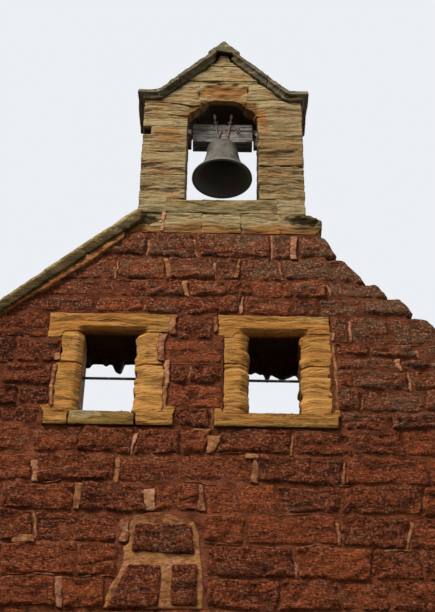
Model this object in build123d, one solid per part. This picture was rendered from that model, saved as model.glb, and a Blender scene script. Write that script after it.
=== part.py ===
from build123d import *
import math
import os

# A stone bellcote on the gable of a roofless building, in millimetres.
# +X is to the right of someone who faces the front, the front faces -Y and +Z is up.
# The origin is on the ground under the bell, midway through the gable wall.

# Gable wall, up to the bed of the bellcote
WALL_THICKNESS = 600
GABLE_WIDTH = 6400
GABLE_PITCH = 42
WALL_HEAD_Z = 7700
WALL_HEAD_WIDTH = 1670

# Broken slope on the right, course by course from the wall head down to the eaves
COURSE_HEIGHTS = (250, 240, 170, 170, 270, 240, 230, 240, 160, 160)
SHORTEST_COURSE = 60
LOST_EDGE = 165
BROKEN_TREAD = 75

# Broken stubs of the side walls behind the gable: each step's run, and its drop below the one before
LEFT_RETURN_STEPS = ((260, 260), (220, 330), (240, 560), (200, 700), (190, 820))
RIGHT_RETURN_STEPS = ((230, 520), (210, 480), (260, 620), (190, 760), (170, 900))

# Windows: the sill and lintel reach to unequal lengths on each side of the centre line
SILL_BOTTOM_Z = 5820
SILL_HEIGHT = 125
SILL_PROJECTION = 25
OPENING_WIDTH = 460
OPENING_HEIGHT = 740
LINTEL_HEIGHT = 180
JAMB_WIDTH = 180
DRESSING_DEPTH = 300
DRESSING_CHAMFER = 50
REAR_CHECK = 40
INNER_LINTEL_BEARING = 160
LEFT_WINDOW = {"centre": -855, "lintel": (525, 490), "sill": (495, 505)}
RIGHT_WINDOW = {"centre": 440, "lintel": (462, 452), "sill": (477, 480)}
BAR_DIAMETER = 22
BAR_DEPTH = 150
BAR_ABOVE_SILL = 385
BAR_SOCKET = 30

# Coping of the left slope
COPING_THICKNESS = 100
COPING_FASCIA = 60
COPING_WEATHERING = 45
COPING_OVERHANG = 55
COPING_STONES = 7
COPING_STONES_SEEN = 5
SKEWPUTT_INSET = 340
SKEWPUTT_PROJECTION = 100
SKEWPUTT_DROP = 180

# Base of the bellcote
BASE_COURSE_HEIGHT = 225
BASE_COURSE_WIDTH = 990
BASE_STONES = 3
MORTAR_JOINT = 8
END_BLOCK_NOSE = 20
END_BLOCK_SHOULDER = 65
END_BLOCK_UNDERCUT = 35

# Bellcote
COTE_WIDTH = 1440
COTE_DEPTH = 460
COTE_OPENING = 666
COTE_SILL_HEIGHT = 162
COTE_SILL_BEARING = 150
PIER_HEIGHT = 1165
ARCH_RISE = 182
HAUNCH_RADIUS = 150
HAUNCH_TURN = 60
HEAD_CENTRE_WIDTH = 450
HEAD_HEIGHT = 442
TYMPANUM_HEIGHT = 323
POCKET_WIDTH = 70
POCKET_HEIGHT = 98
POCKET_DEPTH = 120
POCKET_ABOVE_BASE = 919

# Moulded coping of the bellcote
COTE_PITCH = 46
KNEELER_BED_ABOVE_SPRINGING = 180
KNEELER_LEVEL = 140
KNEELER_OVERHANG = 75
COTE_COPING_THICKNESS = 90
COTE_BED_MOULD = 40
COTE_COPING_OVERHANG = 60
BED_MOULD_OVERHANG = 28
SWEEP_RADIUS = 90
KNEELER_JOINT_X = 410
SADDLE_GAP = 140
APEX_STONE_WIDTH = 300
APEX_STONE_RISE = 25
APEX_STONE_FLAT = 24

# Bell, its headstock and its ironwork, all hung from one level pivot
PIVOT_BELOW_SPRINGING = 40
HEADSTOCK_LENGTH = 552
HEADSTOCK_DEPTH = 140
HEADSTOCK_HEIGHT = 215
HEADSTOCK_BELOW_PIVOT = 145
HEADSTOCK_END_CLEARANCE = 12
MORTISE_CLEARANCE = 6
BELL_MOUTH_RADIUS = 275
BELL_HEIGHT = 394
CROWN_CLEARANCE = 1
CANON_WIDTH = 44
CANON_DEPTH = 60
CANON_HEIGHT = 62
CANON_X = 44
HANGER_PIN_Z = 26
HANGER_ROD = 16
HANGER_TIP_X = 81
HANGER_TIP_ABOVE_PIVOT = 185
HANGER_INNER_X = 14
HANGER_INNER_BELOW_PIVOT = 15
NUT_SIZE = 30
NUT_HEIGHT = 14
NUT_BELOW_TIP = 22
CLAMP_PLATE = 8
CLAMP_PLATE_WIDTH = 40
SEAT = 0.3
GUDGEON_DIAMETER = 32
GUDGEON_FIT = 0.05
GUDGEON_BITE = 33
BEARING_WIDTH = 45
BEARING_DEPTH = 60
BEARING_BELOW_PIVOT = 160
RING_X = 138
RING_Z_BELOW_PIVOT = 18
RING_RADIUS = 16
RING_ROD = 5
RING_SHANK = 12
RING_WASHER = 44
RING_WASHER_THICKNESS = 5

FRONT_Y = -WALL_THICKNESS / 2
REAR_Y = WALL_THICKNESS / 2
COTE_REAR_Y = FRONT_Y + COTE_DEPTH
PIVOT_Y = FRONT_Y + COTE_DEPTH / 2
EAVES_X = GABLE_WIDTH / 2
HEAD_X = WALL_HEAD_WIDTH / 2
SLOPE = math.tan(math.radians(GABLE_PITCH))
EAVES_Z = WALL_HEAD_Z - (EAVES_X - HEAD_X) * SLOPE
OPENING_BOTTOM_Z = SILL_BOTTOM_Z + SILL_HEIGHT
OPENING_TOP_Z = OPENING_BOTTOM_Z + OPENING_HEIGHT
DRESSING_REAR_Y = FRONT_Y + DRESSING_DEPTH
COTE_BASE_Z = WALL_HEAD_Z + BASE_COURSE_HEIGHT
COTE_SILL_TOP_Z = COTE_BASE_Z + COTE_SILL_HEIGHT
COTE_X = COTE_WIDTH / 2
COTE_SLOPE = math.tan(math.radians(COTE_PITCH))
SPRINGING_Z = COTE_BASE_Z + PIER_HEIGHT
HEAD_BED_Z = SPRINGING_Z + HEAD_HEIGHT
TYMPANUM_TOP_Z = HEAD_BED_Z + TYMPANUM_HEIGHT
KNEELER_BED_Z = SPRINGING_Z + KNEELER_BED_ABOVE_SPRINGING
PIVOT_Z = SPRINGING_Z - PIVOT_BELOW_SPRINGING
HEADSTOCK_BOTTOM_Z = PIVOT_Z - HEADSTOCK_BELOW_PIVOT
HEADSTOCK_TOP_Z = HEADSTOCK_BOTTOM_Z + HEADSTOCK_HEIGHT
BELL_TOP_Z = HEADSTOCK_BOTTOM_Z - CROWN_CLEARANCE
BEARING_INNER_X = HEADSTOCK_LENGTH / 2 + HEADSTOCK_END_CLEARANCE
BEARING_OUTER_X = max(BEARING_INNER_X + BEARING_WIDTH, COTE_OPENING / 2)


def box(x_range, y_range, z_range):
    """A block between two X values, two Y values and two Z values."""
    sizes = [high - low for low, high in (x_range, y_range, z_range)]
    middle = [(high + low) / 2 for low, high in (x_range, y_range, z_range)]
    return Pos(*middle) * Box(*sizes)


def slab(points, y_range):
    """A closed outline seen from the front, given as X and Z, carried from one Y value to another."""
    outline = Polyline(*[(x, y_range[0], z) for x, z in points], close=True)
    return extrude(make_face(outline), y_range[1] - y_range[0], dir=(0, 1, 0))


def rod(start, end, diameter):
    """A round bar between two points."""
    start, end = Vector(*start), Vector(*end)
    run = end - start
    return extrude(Plane(origin=start, z_dir=run) * Circle(diameter / 2), run.length)


def mirror_x(shape):
    """The same piece on the other side of the bell's centre line."""
    return mirror(shape, about=Plane.YZ)


def save(name, *solids):
    """Write one piece, which may be several solids that don't touch."""
    shape = solids[0] if len(solids) == 1 else Compound(children=list(solids))
    export_step(shape, f"parts/{name}.step")


def bed_x(z):
    """How far out the bed of the gable coping lies at a height."""
    return HEAD_X + (WALL_HEAD_Z - z) / SLOPE


def broken_slope():
    """Corners of the slope that lost its coping, course by course from the wall head."""
    corners = [(HEAD_X, WALL_HEAD_Z)]
    top = WALL_HEAD_Z
    for height in COURSE_HEIGHTS:
        bottom = max(top - height, EAVES_Z)
        if top - bottom < SHORTEST_COURSE:
            break
        end = bed_x(bottom) - LOST_EDGE
        corners += [(end, bottom), (end + BROKEN_TREAD, bottom)]
        top = bottom
    return corners[:-1] + [(EAVES_X, corners[-1][1])]


def gable_outline():
    """The whole wall seen from the front, with the coping's bed on the left."""
    left = [(-EAVES_X, 0), (-EAVES_X, EAVES_Z), (-HEAD_X, WALL_HEAD_Z)]
    return left + broken_slope() + [(EAVES_X, 0)]


def window_pieces(window):
    """The dressed stones, the bar and the hole of one window."""
    middle = window["centre"]
    half = OPENING_WIDTH / 2
    jamb_x = half + JAMB_WIDTH
    dressing_y = (FRONT_Y, DRESSING_REAR_Y)
    opening_z = (OPENING_BOTTOM_Z, OPENING_TOP_Z)
    lintel_z = (OPENING_TOP_Z, OPENING_TOP_Z + LINTEL_HEIGHT)
    rear_half = half + REAR_CHECK
    bearing = rear_half + INNER_LINTEL_BEARING
    splay = loft([opening_face(middle, DRESSING_CHAMFER, FRONT_Y),
                  opening_face(middle, 0, FRONT_Y + DRESSING_CHAMFER)])
    pieces = {
        "lintel": box((middle - window["lintel"][0], middle + window["lintel"][1]), dressing_y, lintel_z),
        "left_jamb": box((middle - jamb_x, middle - half), dressing_y, opening_z),
        "right_jamb": box((middle + half, middle + jamb_x), dressing_y, opening_z),
        "sill": box((middle - window["sill"][0], middle + window["sill"][1]),
                    (FRONT_Y - SILL_PROJECTION, DRESSING_REAR_Y), (SILL_BOTTOM_Z, OPENING_BOTTOM_Z)),
        "inner_lintel": box((middle - bearing, middle + bearing), (DRESSING_REAR_Y, REAR_Y), lintel_z),
    }
    pockets = list(pieces.values())
    pockets.append(box((middle - half, middle + half), dressing_y, opening_z))
    pockets.append(box((middle - rear_half, middle + rear_half), (DRESSING_REAR_Y, REAR_Y), opening_z))
    bar_z = OPENING_BOTTOM_Z + BAR_ABOVE_SILL
    reach = half + BAR_SOCKET
    bar = rod((middle - reach, FRONT_Y + BAR_DEPTH, bar_z), (middle + reach, FRONT_Y + BAR_DEPTH, bar_z),
              BAR_DIAMETER)
    for name in ("lintel", "left_jamb", "right_jamb"):
        pieces[name] = pieces[name] - splay
    for name in ("left_jamb", "right_jamb"):
        pieces[name] = pieces[name] - bar
    return pieces, pockets, bar


def opening_face(middle, widening, y):
    """The window opening as a face at one depth, widened on its sides and top."""
    half = OPENING_WIDTH / 2 + widening
    top = OPENING_TOP_Z + widening
    corners = [(-half, OPENING_BOTTOM_Z), (half, OPENING_BOTTOM_Z), (half, top), (-half, top)]
    return make_face(Polyline(*[(middle + x, y, z) for x, z in corners], close=True))


def skewputt():
    """The stone at the eaves that the coping leans on."""
    inner_x = -EAVES_X + SKEWPUTT_INSET
    outer_x = -EAVES_X - SKEWPUTT_PROJECTION
    bottom = EAVES_Z - SKEWPUTT_DROP
    bed = EAVES_Z + SKEWPUTT_INSET * SLOPE
    rise = COPING_THICKNESS / math.cos(math.radians(GABLE_PITCH))
    lean = COPING_THICKNESS * math.sin(math.radians(GABLE_PITCH))
    lift = COPING_THICKNESS * math.cos(math.radians(GABLE_PITCH))
    outer_top = EAVES_Z - SKEWPUTT_PROJECTION * SLOPE + rise
    corners = [(outer_x, bottom), (inner_x, bottom), (inner_x, bed), (inner_x - lean, bed + lift),
               (outer_x, outer_top)]
    return slab(corners, (FRONT_Y - COPING_OVERHANG, REAR_Y + COPING_OVERHANG))


def coping_stones():
    """The coping of the left slope, from the bellcote's foot down to the skewputt."""
    half = WALL_THICKNESS / 2 + COPING_OVERHANG
    section = [(-half, 0), (half, 0), (half, COPING_FASCIA), (half - COPING_WEATHERING, COPING_THICKNESS),
               (COPING_WEATHERING - half, COPING_THICKNESS), (-half, COPING_FASCIA)]
    angle = math.radians(GABLE_PITCH)
    down = Vector(-math.cos(angle), 0, -math.sin(angle))
    run = (EAVES_X - SKEWPUTT_INSET - HEAD_X) / math.cos(angle)
    length = run / COPING_STONES
    stones = []
    for index in range(COPING_STONES):
        start = index * length if index else -2 * COPING_THICKNESS
        end = (index + 1) * length - MORTAR_JOINT * (index < COPING_STONES - 1)
        origin = Vector(-HEAD_X, 0, WALL_HEAD_Z) + down * start
        plane = Plane(origin=origin, x_dir=(0, -1, 0), z_dir=down)
        stone = extrude(plane * make_face(Polyline(*section, close=True)), end - start)
        stones.append(stone - cote_foot())
    return stones


def cote_foot():
    """The space above the wall head that the bellcote and its base stand in."""
    return box((-COTE_X, COTE_X), (FRONT_Y - WALL_THICKNESS, REAR_Y + WALL_THICKNESS),
               (WALL_HEAD_Z - WALL_THICKNESS, SPRINGING_Z))


def base_course():
    """The middle stones under the bellcote's sill, a mortar joint apart."""
    pitch = (BASE_COURSE_WIDTH + MORTAR_JOINT) / BASE_STONES
    left = -BASE_COURSE_WIDTH / 2
    spans = [(left + index * pitch, left + (index + 1) * pitch - MORTAR_JOINT) for index in range(BASE_STONES)]
    return [box(span, (FRONT_Y, REAR_Y), (WALL_HEAD_Z, COTE_BASE_Z)) for span in spans]


def left_foot_block():
    """The hollowed stone that carries the left pier and the top of the coping."""
    inner = -BASE_COURSE_WIDTH / 2
    meeting_z = WALL_HEAD_Z + (HEAD_X - COTE_X) * SLOPE
    corners = [(inner, WALL_HEAD_Z), (-HEAD_X, WALL_HEAD_Z), (-COTE_X, meeting_z), (-COTE_X, COTE_BASE_Z),
               (inner, COTE_BASE_Z)]
    return slab(corners, (FRONT_Y, REAR_Y))


def right_end_block():
    """The rounded stone under the right pier, all that is left of that slope's coping."""
    inner = BASE_COURSE_WIDTH / 2
    nose = HEAD_X + END_BLOCK_NOSE
    corners = [(inner, WALL_HEAD_Z), (inner, COTE_BASE_Z), (HEAD_X - END_BLOCK_SHOULDER, COTE_BASE_Z),
               (nose, COTE_BASE_Z - END_BLOCK_SHOULDER), (nose, WALL_HEAD_Z + BASE_COURSE_HEIGHT / 3),
               (HEAD_X - END_BLOCK_UNDERCUT, WALL_HEAD_Z)]
    return slab(corners, (FRONT_Y, REAR_Y))


def cote_opening():
    """The arched space that the bell hangs in."""
    half = COTE_OPENING / 2
    turn = math.radians(HAUNCH_TURN)
    knee = (half - HAUNCH_RADIUS * (1 - math.cos(turn)), SPRINGING_Z + HAUNCH_RADIUS * math.sin(turn))
    centre = half - HAUNCH_RADIUS
    bulge = (centre + HAUNCH_RADIUS * math.cos(turn / 2), SPRINGING_Z + HAUNCH_RADIUS * math.sin(turn / 2))
    y = FRONT_Y

    def at(x, z):
        return (x, y, z)

    edges = [
        Line(at(-half, COTE_SILL_TOP_Z), at(half, COTE_SILL_TOP_Z)),
        Line(at(half, COTE_SILL_TOP_Z), at(half, SPRINGING_Z)),
        ThreePointArc(at(half, SPRINGING_Z), at(*bulge), at(*knee)),
        ThreePointArc(at(*knee), at(0, SPRINGING_Z + ARCH_RISE), at(-knee[0], knee[1])),
        ThreePointArc(at(-knee[0], knee[1]), at(-bulge[0], bulge[1]), at(-half, SPRINGING_Z)),
        Line(at(-half, SPRINGING_Z), at(-half, COTE_SILL_TOP_Z)),
    ]
    return extrude(make_face(edges), COTE_DEPTH, dir=(0, 1, 0))


def coping_line(offset):
    """The right half of the bellcote coping's line, a distance above its bed: end, sweep and apex."""
    level_z = KNEELER_BED_Z + offset
    shift = offset * math.tan(math.radians(COTE_PITCH / 2))
    sweep_x = COTE_X - KNEELER_LEVEL + shift
    return [(COTE_X + KNEELER_OVERHANG, level_z), (sweep_x, level_z), (0, level_z + sweep_x * COTE_SLOPE)]


def cote_outline():
    """The bellcote's masonry seen from the front, up to its coping's bed."""
    _, sweep, apex = coping_line(0)
    right = [(COTE_X, COTE_BASE_Z), (COTE_X, KNEELER_BED_Z), sweep]
    return right + [apex] + [(-x, z) for x, z in reversed(right)]


def coping_layer(low, high, side_overhang, face_overhang):
    """The right half of one layer of the bellcote's coping, between two offsets from its bed."""
    under = coping_line(low)
    over = coping_line(high)
    end_x = COTE_X + side_overhang
    points = [(end_x, under[0][1]), under[1], under[2], over[2], over[1], (end_x, over[0][1])]
    y_range = (FRONT_Y - face_overhang, COTE_REAR_Y + face_overhang)
    layer = slab(points, y_range)
    sweeps = [(under[1], SWEEP_RADIUS), (over[1], SWEEP_RADIUS)]
    for (x, z), radius in sweeps:
        edges = [edge for edge in layer.edges().filter_by(Axis.Y)
                 if abs(edge.center().X - x) < 1 and abs(edge.center().Z - z) < 1]
        layer = fillet(edges, radius)
    return layer


def cote_coping():
    """The right half of the bellcote's coping, kneeler and slab in one."""
    bed_mould = coping_layer(0, COTE_BED_MOULD, BED_MOULD_OVERHANG, BED_MOULD_OVERHANG)
    fascia = coping_layer(COTE_BED_MOULD, COTE_COPING_THICKNESS, KNEELER_OVERHANG, COTE_COPING_OVERHANG)
    return bed_mould + fascia


def between_x(low, high):
    """The space between two X values, as high and deep as the whole bellcote."""
    return box((low, high), (FRONT_Y - COTE_DEPTH, COTE_REAR_Y + COTE_DEPTH), (WALL_HEAD_Z, 2 * SPRINGING_Z))


def apex_stone():
    """The saddle stone that bridges the two slabs and leaves a hollow under it."""
    top = coping_line(COTE_COPING_THICKNESS)[2][1]
    outer = APEX_STONE_WIDTH / 2
    inner = SADDLE_GAP / 2
    flat = APEX_STONE_FLAT / 2
    right = [(inner, top - inner * COTE_SLOPE), (outer, top - outer * COTE_SLOPE),
             (outer, top + APEX_STONE_RISE - outer * COTE_SLOPE),
             (flat, top + APEX_STONE_RISE - flat * COTE_SLOPE)]
    points = right + [(-x, z) for x, z in reversed(right)]
    return slab(points, (FRONT_Y - COTE_COPING_OVERHANG, COTE_REAR_Y + COTE_COPING_OVERHANG))


def bell():
    """A flared bell with a rounded shoulder, hollow, with two drilled lugs on its crown."""
    mouth = BELL_MOUTH_RADIUS
    height = BELL_HEIGHT
    outer = [(mouth, 0), (mouth - 3, 16), (0.87 * mouth, 0.13 * height), (0.76 * mouth, 0.25 * height),
             (0.66 * mouth, 0.4 * height), (0.595 * mouth, 0.55 * height), (0.555 * mouth, 0.68 * height),
             (0.53 * mouth, 0.82 * height), (0.505 * mouth, 0.93 * height), (0.44 * mouth, 0.985 * height),
             (0.33 * mouth, height)]
    inner = [(0.26 * mouth, 0.94 * height), (0.42 * mouth, 0.9 * height), (0.465 * mouth, 0.8 * height),
             (0.49 * mouth, 0.66 * height), (0.53 * mouth, 0.53 * height), (0.59 * mouth, 0.39 * height),
             (0.68 * mouth, 0.245 * height), (0.78 * mouth, 0.12 * height), (0.88 * mouth, 0.02 * height),
             (0.92 * mouth, 0)]
    half_section = [
        Spline(*[(r, 0, z) for r, z in outer]),
        Line((outer[-1][0], 0, height), (0, 0, height)),
        Line((0, 0, height), (0, 0, inner[0][1])),
        Line((0, 0, inner[0][1]), (inner[0][0], 0, inner[0][1])),
        Spline(*[(r, 0, z) for r, z in inner]),
        Line((inner[-1][0], 0, 0), (mouth, 0, 0)),
    ]
    shell = Pos(0, PIVOT_Y, BELL_TOP_Z - height) * revolve(make_face(half_section), Axis.Z, 360)
    canon = canon_space(0) - hanger_pin(2 * SEAT)
    return shell + canon + mirror_x(canon)


def canon_space(clearance):
    """The lug on the bell's crown that one hanger holds, grown by a clearance."""
    half_x = CANON_WIDTH / 2 + clearance
    half_y = CANON_DEPTH / 2 + clearance
    return box((CANON_X - half_x, CANON_X + half_x), (PIVOT_Y - half_y, PIVOT_Y + half_y),
               (BELL_TOP_Z, HEADSTOCK_BOTTOM_Z + CANON_HEIGHT + clearance))


def hanger_y(side):
    """The depth at which a hanger's rods lie against the headstock: side is -1 in front, 1 behind."""
    return PIVOT_Y + side * (HEADSTOCK_DEPTH / 2 + SEAT + HANGER_ROD / 2)


def hanger_pin(play):
    """The pin of the right hanger, through the headstock and the bell's lug, grown by some play."""
    z = HEADSTOCK_BOTTOM_Z + HANGER_PIN_Z
    return rod((CANON_X, hanger_y(-1), z), (CANON_X, hanger_y(1), z), HANGER_ROD + play)


def hanger():
    """The right hanger: a V of two rods in front and one behind, a pin between them and a clamp plate."""
    pin_z = HEADSTOCK_BOTTOM_Z + HANGER_PIN_Z
    tip_z = PIVOT_Z + HANGER_TIP_ABOVE_PIVOT
    inner_z = PIVOT_Z - HANGER_INNER_BELOW_PIVOT
    plate_z = (HEADSTOCK_TOP_Z + SEAT, HEADSTOCK_TOP_Z + SEAT + CLAMP_PLATE)
    plate_x = CANON_X + (HANGER_TIP_X - CANON_X) * (HEADSTOCK_TOP_Z - pin_z) / (tip_z - pin_z)
    plate_y = hanger_y(1) + HANGER_ROD - PIVOT_Y
    shape = hanger_pin(0)
    shape += box((plate_x - CLAMP_PLATE_WIDTH / 2, plate_x + CLAMP_PLATE_WIDTH / 2),
                 (PIVOT_Y - plate_y, PIVOT_Y + plate_y), plate_z)
    for side in (-1, 1):
        y = hanger_y(side)
        foot = (CANON_X, y, pin_z)
        tip = (HANGER_TIP_X, y, tip_z)
        shape += rod(foot, tip, HANGER_ROD)
        shape += rod(foot, (HANGER_INNER_X, y, inner_z), HANGER_ROD)
        shape += Pos(*foot) * Sphere(HANGER_ROD / 2)
        shape += nut(foot, tip)
    return shape


def nut(foot, tip):
    """A hexagon nut near the end of a hanger's rod."""
    foot, tip = Vector(*foot), Vector(*tip)
    along = (tip - foot).normalized()
    place = Plane(origin=tip - along * (NUT_BELOW_TIP + NUT_HEIGHT), z_dir=along)
    return extrude(place * RegularPolygon(NUT_SIZE / 2, 6), NUT_HEIGHT)


def headstock():
    """The timber beam, hollowed underneath for the bell's lugs and drilled for the hanger pins."""
    beam = box((-HEADSTOCK_LENGTH / 2, HEADSTOCK_LENGTH / 2),
               (PIVOT_Y - HEADSTOCK_DEPTH / 2, PIVOT_Y + HEADSTOCK_DEPTH / 2),
               (HEADSTOCK_BOTTOM_Z, HEADSTOCK_TOP_Z))
    mortise = canon_space(MORTISE_CLEARANCE)
    hole = hanger_pin(2 * SEAT)
    return beam - mortise - mirror_x(mortise) - hole - mirror_x(hole)


def gudgeon():
    """The right pin that the headstock turns on."""
    face = HEADSTOCK_LENGTH / 2
    reach = BEARING_INNER_X + GUDGEON_BITE
    return rod((face, PIVOT_Y, PIVOT_Z), (reach, PIVOT_Y, PIVOT_Z), GUDGEON_DIAMETER)


def bearing_block():
    """The right bearing block before it is bored. It goes into the pier where the headstock needs the room."""
    return box((BEARING_INNER_X, BEARING_OUTER_X), (PIVOT_Y - BEARING_DEPTH / 2, PIVOT_Y + BEARING_DEPTH / 2),
               (PIVOT_Z - BEARING_BELOW_PIVOT, SPRINGING_Z))


def bearing():
    """The right bearing block, fixed to the pier's inner face."""
    hole = rod((BEARING_INNER_X, PIVOT_Y, PIVOT_Z), (BEARING_OUTER_X, PIVOT_Y, PIVOT_Z),
               GUDGEON_DIAMETER + 2 * GUDGEON_FIT)
    return bearing_block() - hole


def ring_bolt():
    """The eye bolt on the headstock's front, right of the middle."""
    face = PIVOT_Y - HEADSTOCK_DEPTH / 2 - SEAT
    z = PIVOT_Z - RING_Z_BELOW_PIVOT
    washer_front = face - RING_WASHER_THICKNESS
    shank_end = washer_front - RING_SHANK
    washer = rod((RING_X, face, z), (RING_X, washer_front, z), RING_WASHER)
    shank = rod((RING_X, washer_front, z), (RING_X, shank_end, z), 2 * RING_ROD)
    return washer + shank + Pos(RING_X, shank_end - RING_RADIUS, z) * Torus(RING_RADIUS, RING_ROD)


def side_wall(steps):
    """The right stub of a side wall behind the gable, broken down in steps."""
    points = [(REAR_Y, 0)]
    y = REAR_Y
    z = EAVES_Z
    for run, drop in steps:
        z -= drop
        points += [(y, z), (y + run, z)]
        y += run
    points.append((y, 0))
    inner_x = EAVES_X - WALL_THICKNESS
    outline = Polyline(*[(inner_x, py, pz) for py, pz in points], close=True)
    return extrude(make_face(outline), WALL_THICKNESS, dir=(1, 0, 0))


def build():
    os.makedirs("parts", exist_ok=True)
    wall = slab(gable_outline(), (FRONT_Y, REAR_Y))
    wall_y = (FRONT_Y, REAR_Y)
    left_middle = LEFT_WINDOW["centre"]
    right_middle = RIGHT_WINDOW["centre"]
    opening_z = (OPENING_BOTTOM_Z, OPENING_TOP_Z)
    foot = skewputt()
    bands = {
        "wall_below_windows": box((-EAVES_X, EAVES_X), wall_y, (0, OPENING_BOTTOM_Z)),
        "wall_left_of_windows": box((-EAVES_X, left_middle), wall_y, opening_z),
        "wall_between_windows": box((left_middle, right_middle), wall_y, opening_z),
        "wall_right_of_windows": box((right_middle, EAVES_X), wall_y, opening_z),
        "gable_head": box((-EAVES_X, EAVES_X), wall_y, (OPENING_TOP_Z, WALL_HEAD_Z)),
    }
    masonry = {name: (wall & band) - foot for name, band in bands.items()}
    bars = []
    inner_lintels = []
    for side, window in (("left", LEFT_WINDOW), ("right", RIGHT_WINDOW)):
        pieces, pockets, bar = window_pieces(window)
        bars.append(bar)
        for name in masonry:
            for pocket in pockets:
                masonry[name] = masonry[name] - pocket
        inner_lintels.append(pieces.pop("inner_lintel"))
        for name, piece in pieces.items():
            save(f"{side}_window_{name}", piece)
    save("window_bars", *bars)
    save("inner_lintels", *inner_lintels)
    for name, piece in masonry.items():
        save(name, piece)
    save("side_wall_left", mirror_x(side_wall(LEFT_RETURN_STEPS)))
    save("side_wall_right", side_wall(RIGHT_RETURN_STEPS))

    save("left_skewputt", foot)
    stones = coping_stones()
    for index, stone in enumerate(stones[:COPING_STONES_SEEN]):
        save(f"left_coping_{index + 1}", stone)
    save("left_coping_lower", *stones[COPING_STONES_SEEN:])

    save("base_course", *base_course())
    save("left_foot_block", left_foot_block())
    save("right_end_block", right_end_block())

    cote = slab(cote_outline(), (FRONT_Y, COTE_REAR_Y)) - cote_opening()
    cote_y = (FRONT_Y, COTE_REAR_Y)
    sill_x = COTE_OPENING / 2 + COTE_SILL_BEARING
    sill = box((-sill_x, sill_x), cote_y, (COTE_BASE_Z, COTE_SILL_TOP_Z))
    half_centre = HEAD_CENTRE_WIDTH / 2
    pier = cote & box((0, COTE_X), cote_y, (COTE_BASE_Z, SPRINGING_Z))
    pier = pier - sill - bearing_block()
    haunch = cote & box((half_centre, COTE_X), cote_y, (SPRINGING_Z, HEAD_BED_Z))
    pocket = box((-COTE_X, POCKET_WIDTH - COTE_X), (FRONT_Y, FRONT_Y + POCKET_DEPTH),
                 (COTE_BASE_Z + POCKET_ABOVE_BASE, COTE_BASE_Z + POCKET_ABOVE_BASE + POCKET_HEIGHT))
    save("bellcote_sill", sill)
    save("left_pier", mirror_x(pier) - pocket)
    save("right_pier", pier)
    save("arch_left", mirror_x(haunch))
    save("arch_right", haunch)
    save("arch_centre", cote & box((-half_centre, half_centre), cote_y, (SPRINGING_Z, HEAD_BED_Z)))
    save("tympanum", cote & box((-COTE_X, COTE_X), cote_y, (HEAD_BED_Z, TYMPANUM_TOP_Z)))

    coping = cote_coping()
    kneeler = coping & between_x(KNEELER_JOINT_X, 2 * COTE_X)
    saddle_slab = coping & between_x(SADDLE_GAP / 2, KNEELER_JOINT_X)
    save("right_kneeler", kneeler)
    save("left_kneeler", mirror_x(kneeler))
    save("right_saddle_slab", saddle_slab)
    save("left_saddle_slab", mirror_x(saddle_slab))
    save("apex_stone", apex_stone())

    save("bearings", bearing(), mirror_x(bearing()))
    save("gudgeons", gudgeon(), mirror_x(gudgeon()))
    save("headstock", headstock())
    save("bell", bell())
    save("hangers", hanger(), mirror_x(hanger()))
    save("ring_bolt", ring_bolt())


build()
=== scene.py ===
import math
import random

import bmesh
import bpy
import numpy as np
from bpy.props import FloatProperty, FloatVectorProperty, PointerProperty
from mathutils import Euler, Matrix, Vector


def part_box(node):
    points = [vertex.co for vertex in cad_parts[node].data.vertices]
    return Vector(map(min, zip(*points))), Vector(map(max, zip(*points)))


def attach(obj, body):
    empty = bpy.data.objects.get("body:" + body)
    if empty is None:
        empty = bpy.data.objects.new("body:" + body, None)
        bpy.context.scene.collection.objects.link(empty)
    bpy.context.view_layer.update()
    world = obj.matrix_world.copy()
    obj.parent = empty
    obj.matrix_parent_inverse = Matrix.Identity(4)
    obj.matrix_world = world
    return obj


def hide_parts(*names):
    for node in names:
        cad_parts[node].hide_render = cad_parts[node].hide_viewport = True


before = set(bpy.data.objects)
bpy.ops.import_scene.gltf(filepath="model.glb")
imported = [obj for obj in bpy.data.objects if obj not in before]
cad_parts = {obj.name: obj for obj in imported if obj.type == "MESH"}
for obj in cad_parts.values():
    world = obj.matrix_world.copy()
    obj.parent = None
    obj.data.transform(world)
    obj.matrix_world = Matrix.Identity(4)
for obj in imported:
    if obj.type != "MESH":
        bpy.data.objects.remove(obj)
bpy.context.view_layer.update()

bl_info = {
    "name": "Stone bellcote on a ruined gable",
    "version": (1, 0, 0),
    "blender": (4, 5, 0),
    "location": "View3D > Sidebar > Bellcote",
    "description": "Rubble walls, dressed stones, a weathered bellcote and its bell",
    "category": "Object",
}

# Places read from the CAD parts

FRONT_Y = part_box("gable_head")[0].y
REAR_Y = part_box("gable_head")[1].y
HEAD_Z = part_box("gable_head")[1].z
LINTEL_TOP_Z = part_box("left_window_lintel")[1].z
LINTEL_LOW_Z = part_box("left_window_lintel")[0].z
SILL_LOW_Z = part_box("left_window_sill")[0].z
OPENING_LOW_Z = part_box("wall_left_of_windows")[0].z
CORNER_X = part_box("wall_below_windows")[1].x
RETURN_INNER_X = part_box("side_wall_right")[0].x
SKEWPUTT_LOW, SKEWPUTT_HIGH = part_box("left_skewputt")
COTE_SILL_TOP_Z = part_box("bellcote_sill")[1].z
SPRINGING_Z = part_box("left_pier")[1].z
APEX_LOW_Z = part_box("apex_stone")[0].z

# Sizes inside those boxes, in metres

# The gable: half the width of its level head, its slope, and what the right slope lost with its coping.
HEAD_X = 0.835
SLOPE = math.tan(math.radians(42))
LOST_EDGE = 0.165
TREAD = 0.075
SKEWPUTT_INNER_X = -2.86
EAVES_TOP = 5.59
# The thickness of one of the wall's two leaves.
WYTHE = 0.3
# The windows: their middles, and half the width of their backs and of the rear lintels.
WINDOWS = (-0.855, 0.44)
REAR_HALF_OPENING = 0.27
REAR_HALF_LINTEL = 0.43
# The bellcote: its arch and the slope of its coping.
COTE_HALF_OPENING = 0.333
ARCH_RISE = 0.182
COTE_SLOPE = math.tan(math.radians(46))

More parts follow.
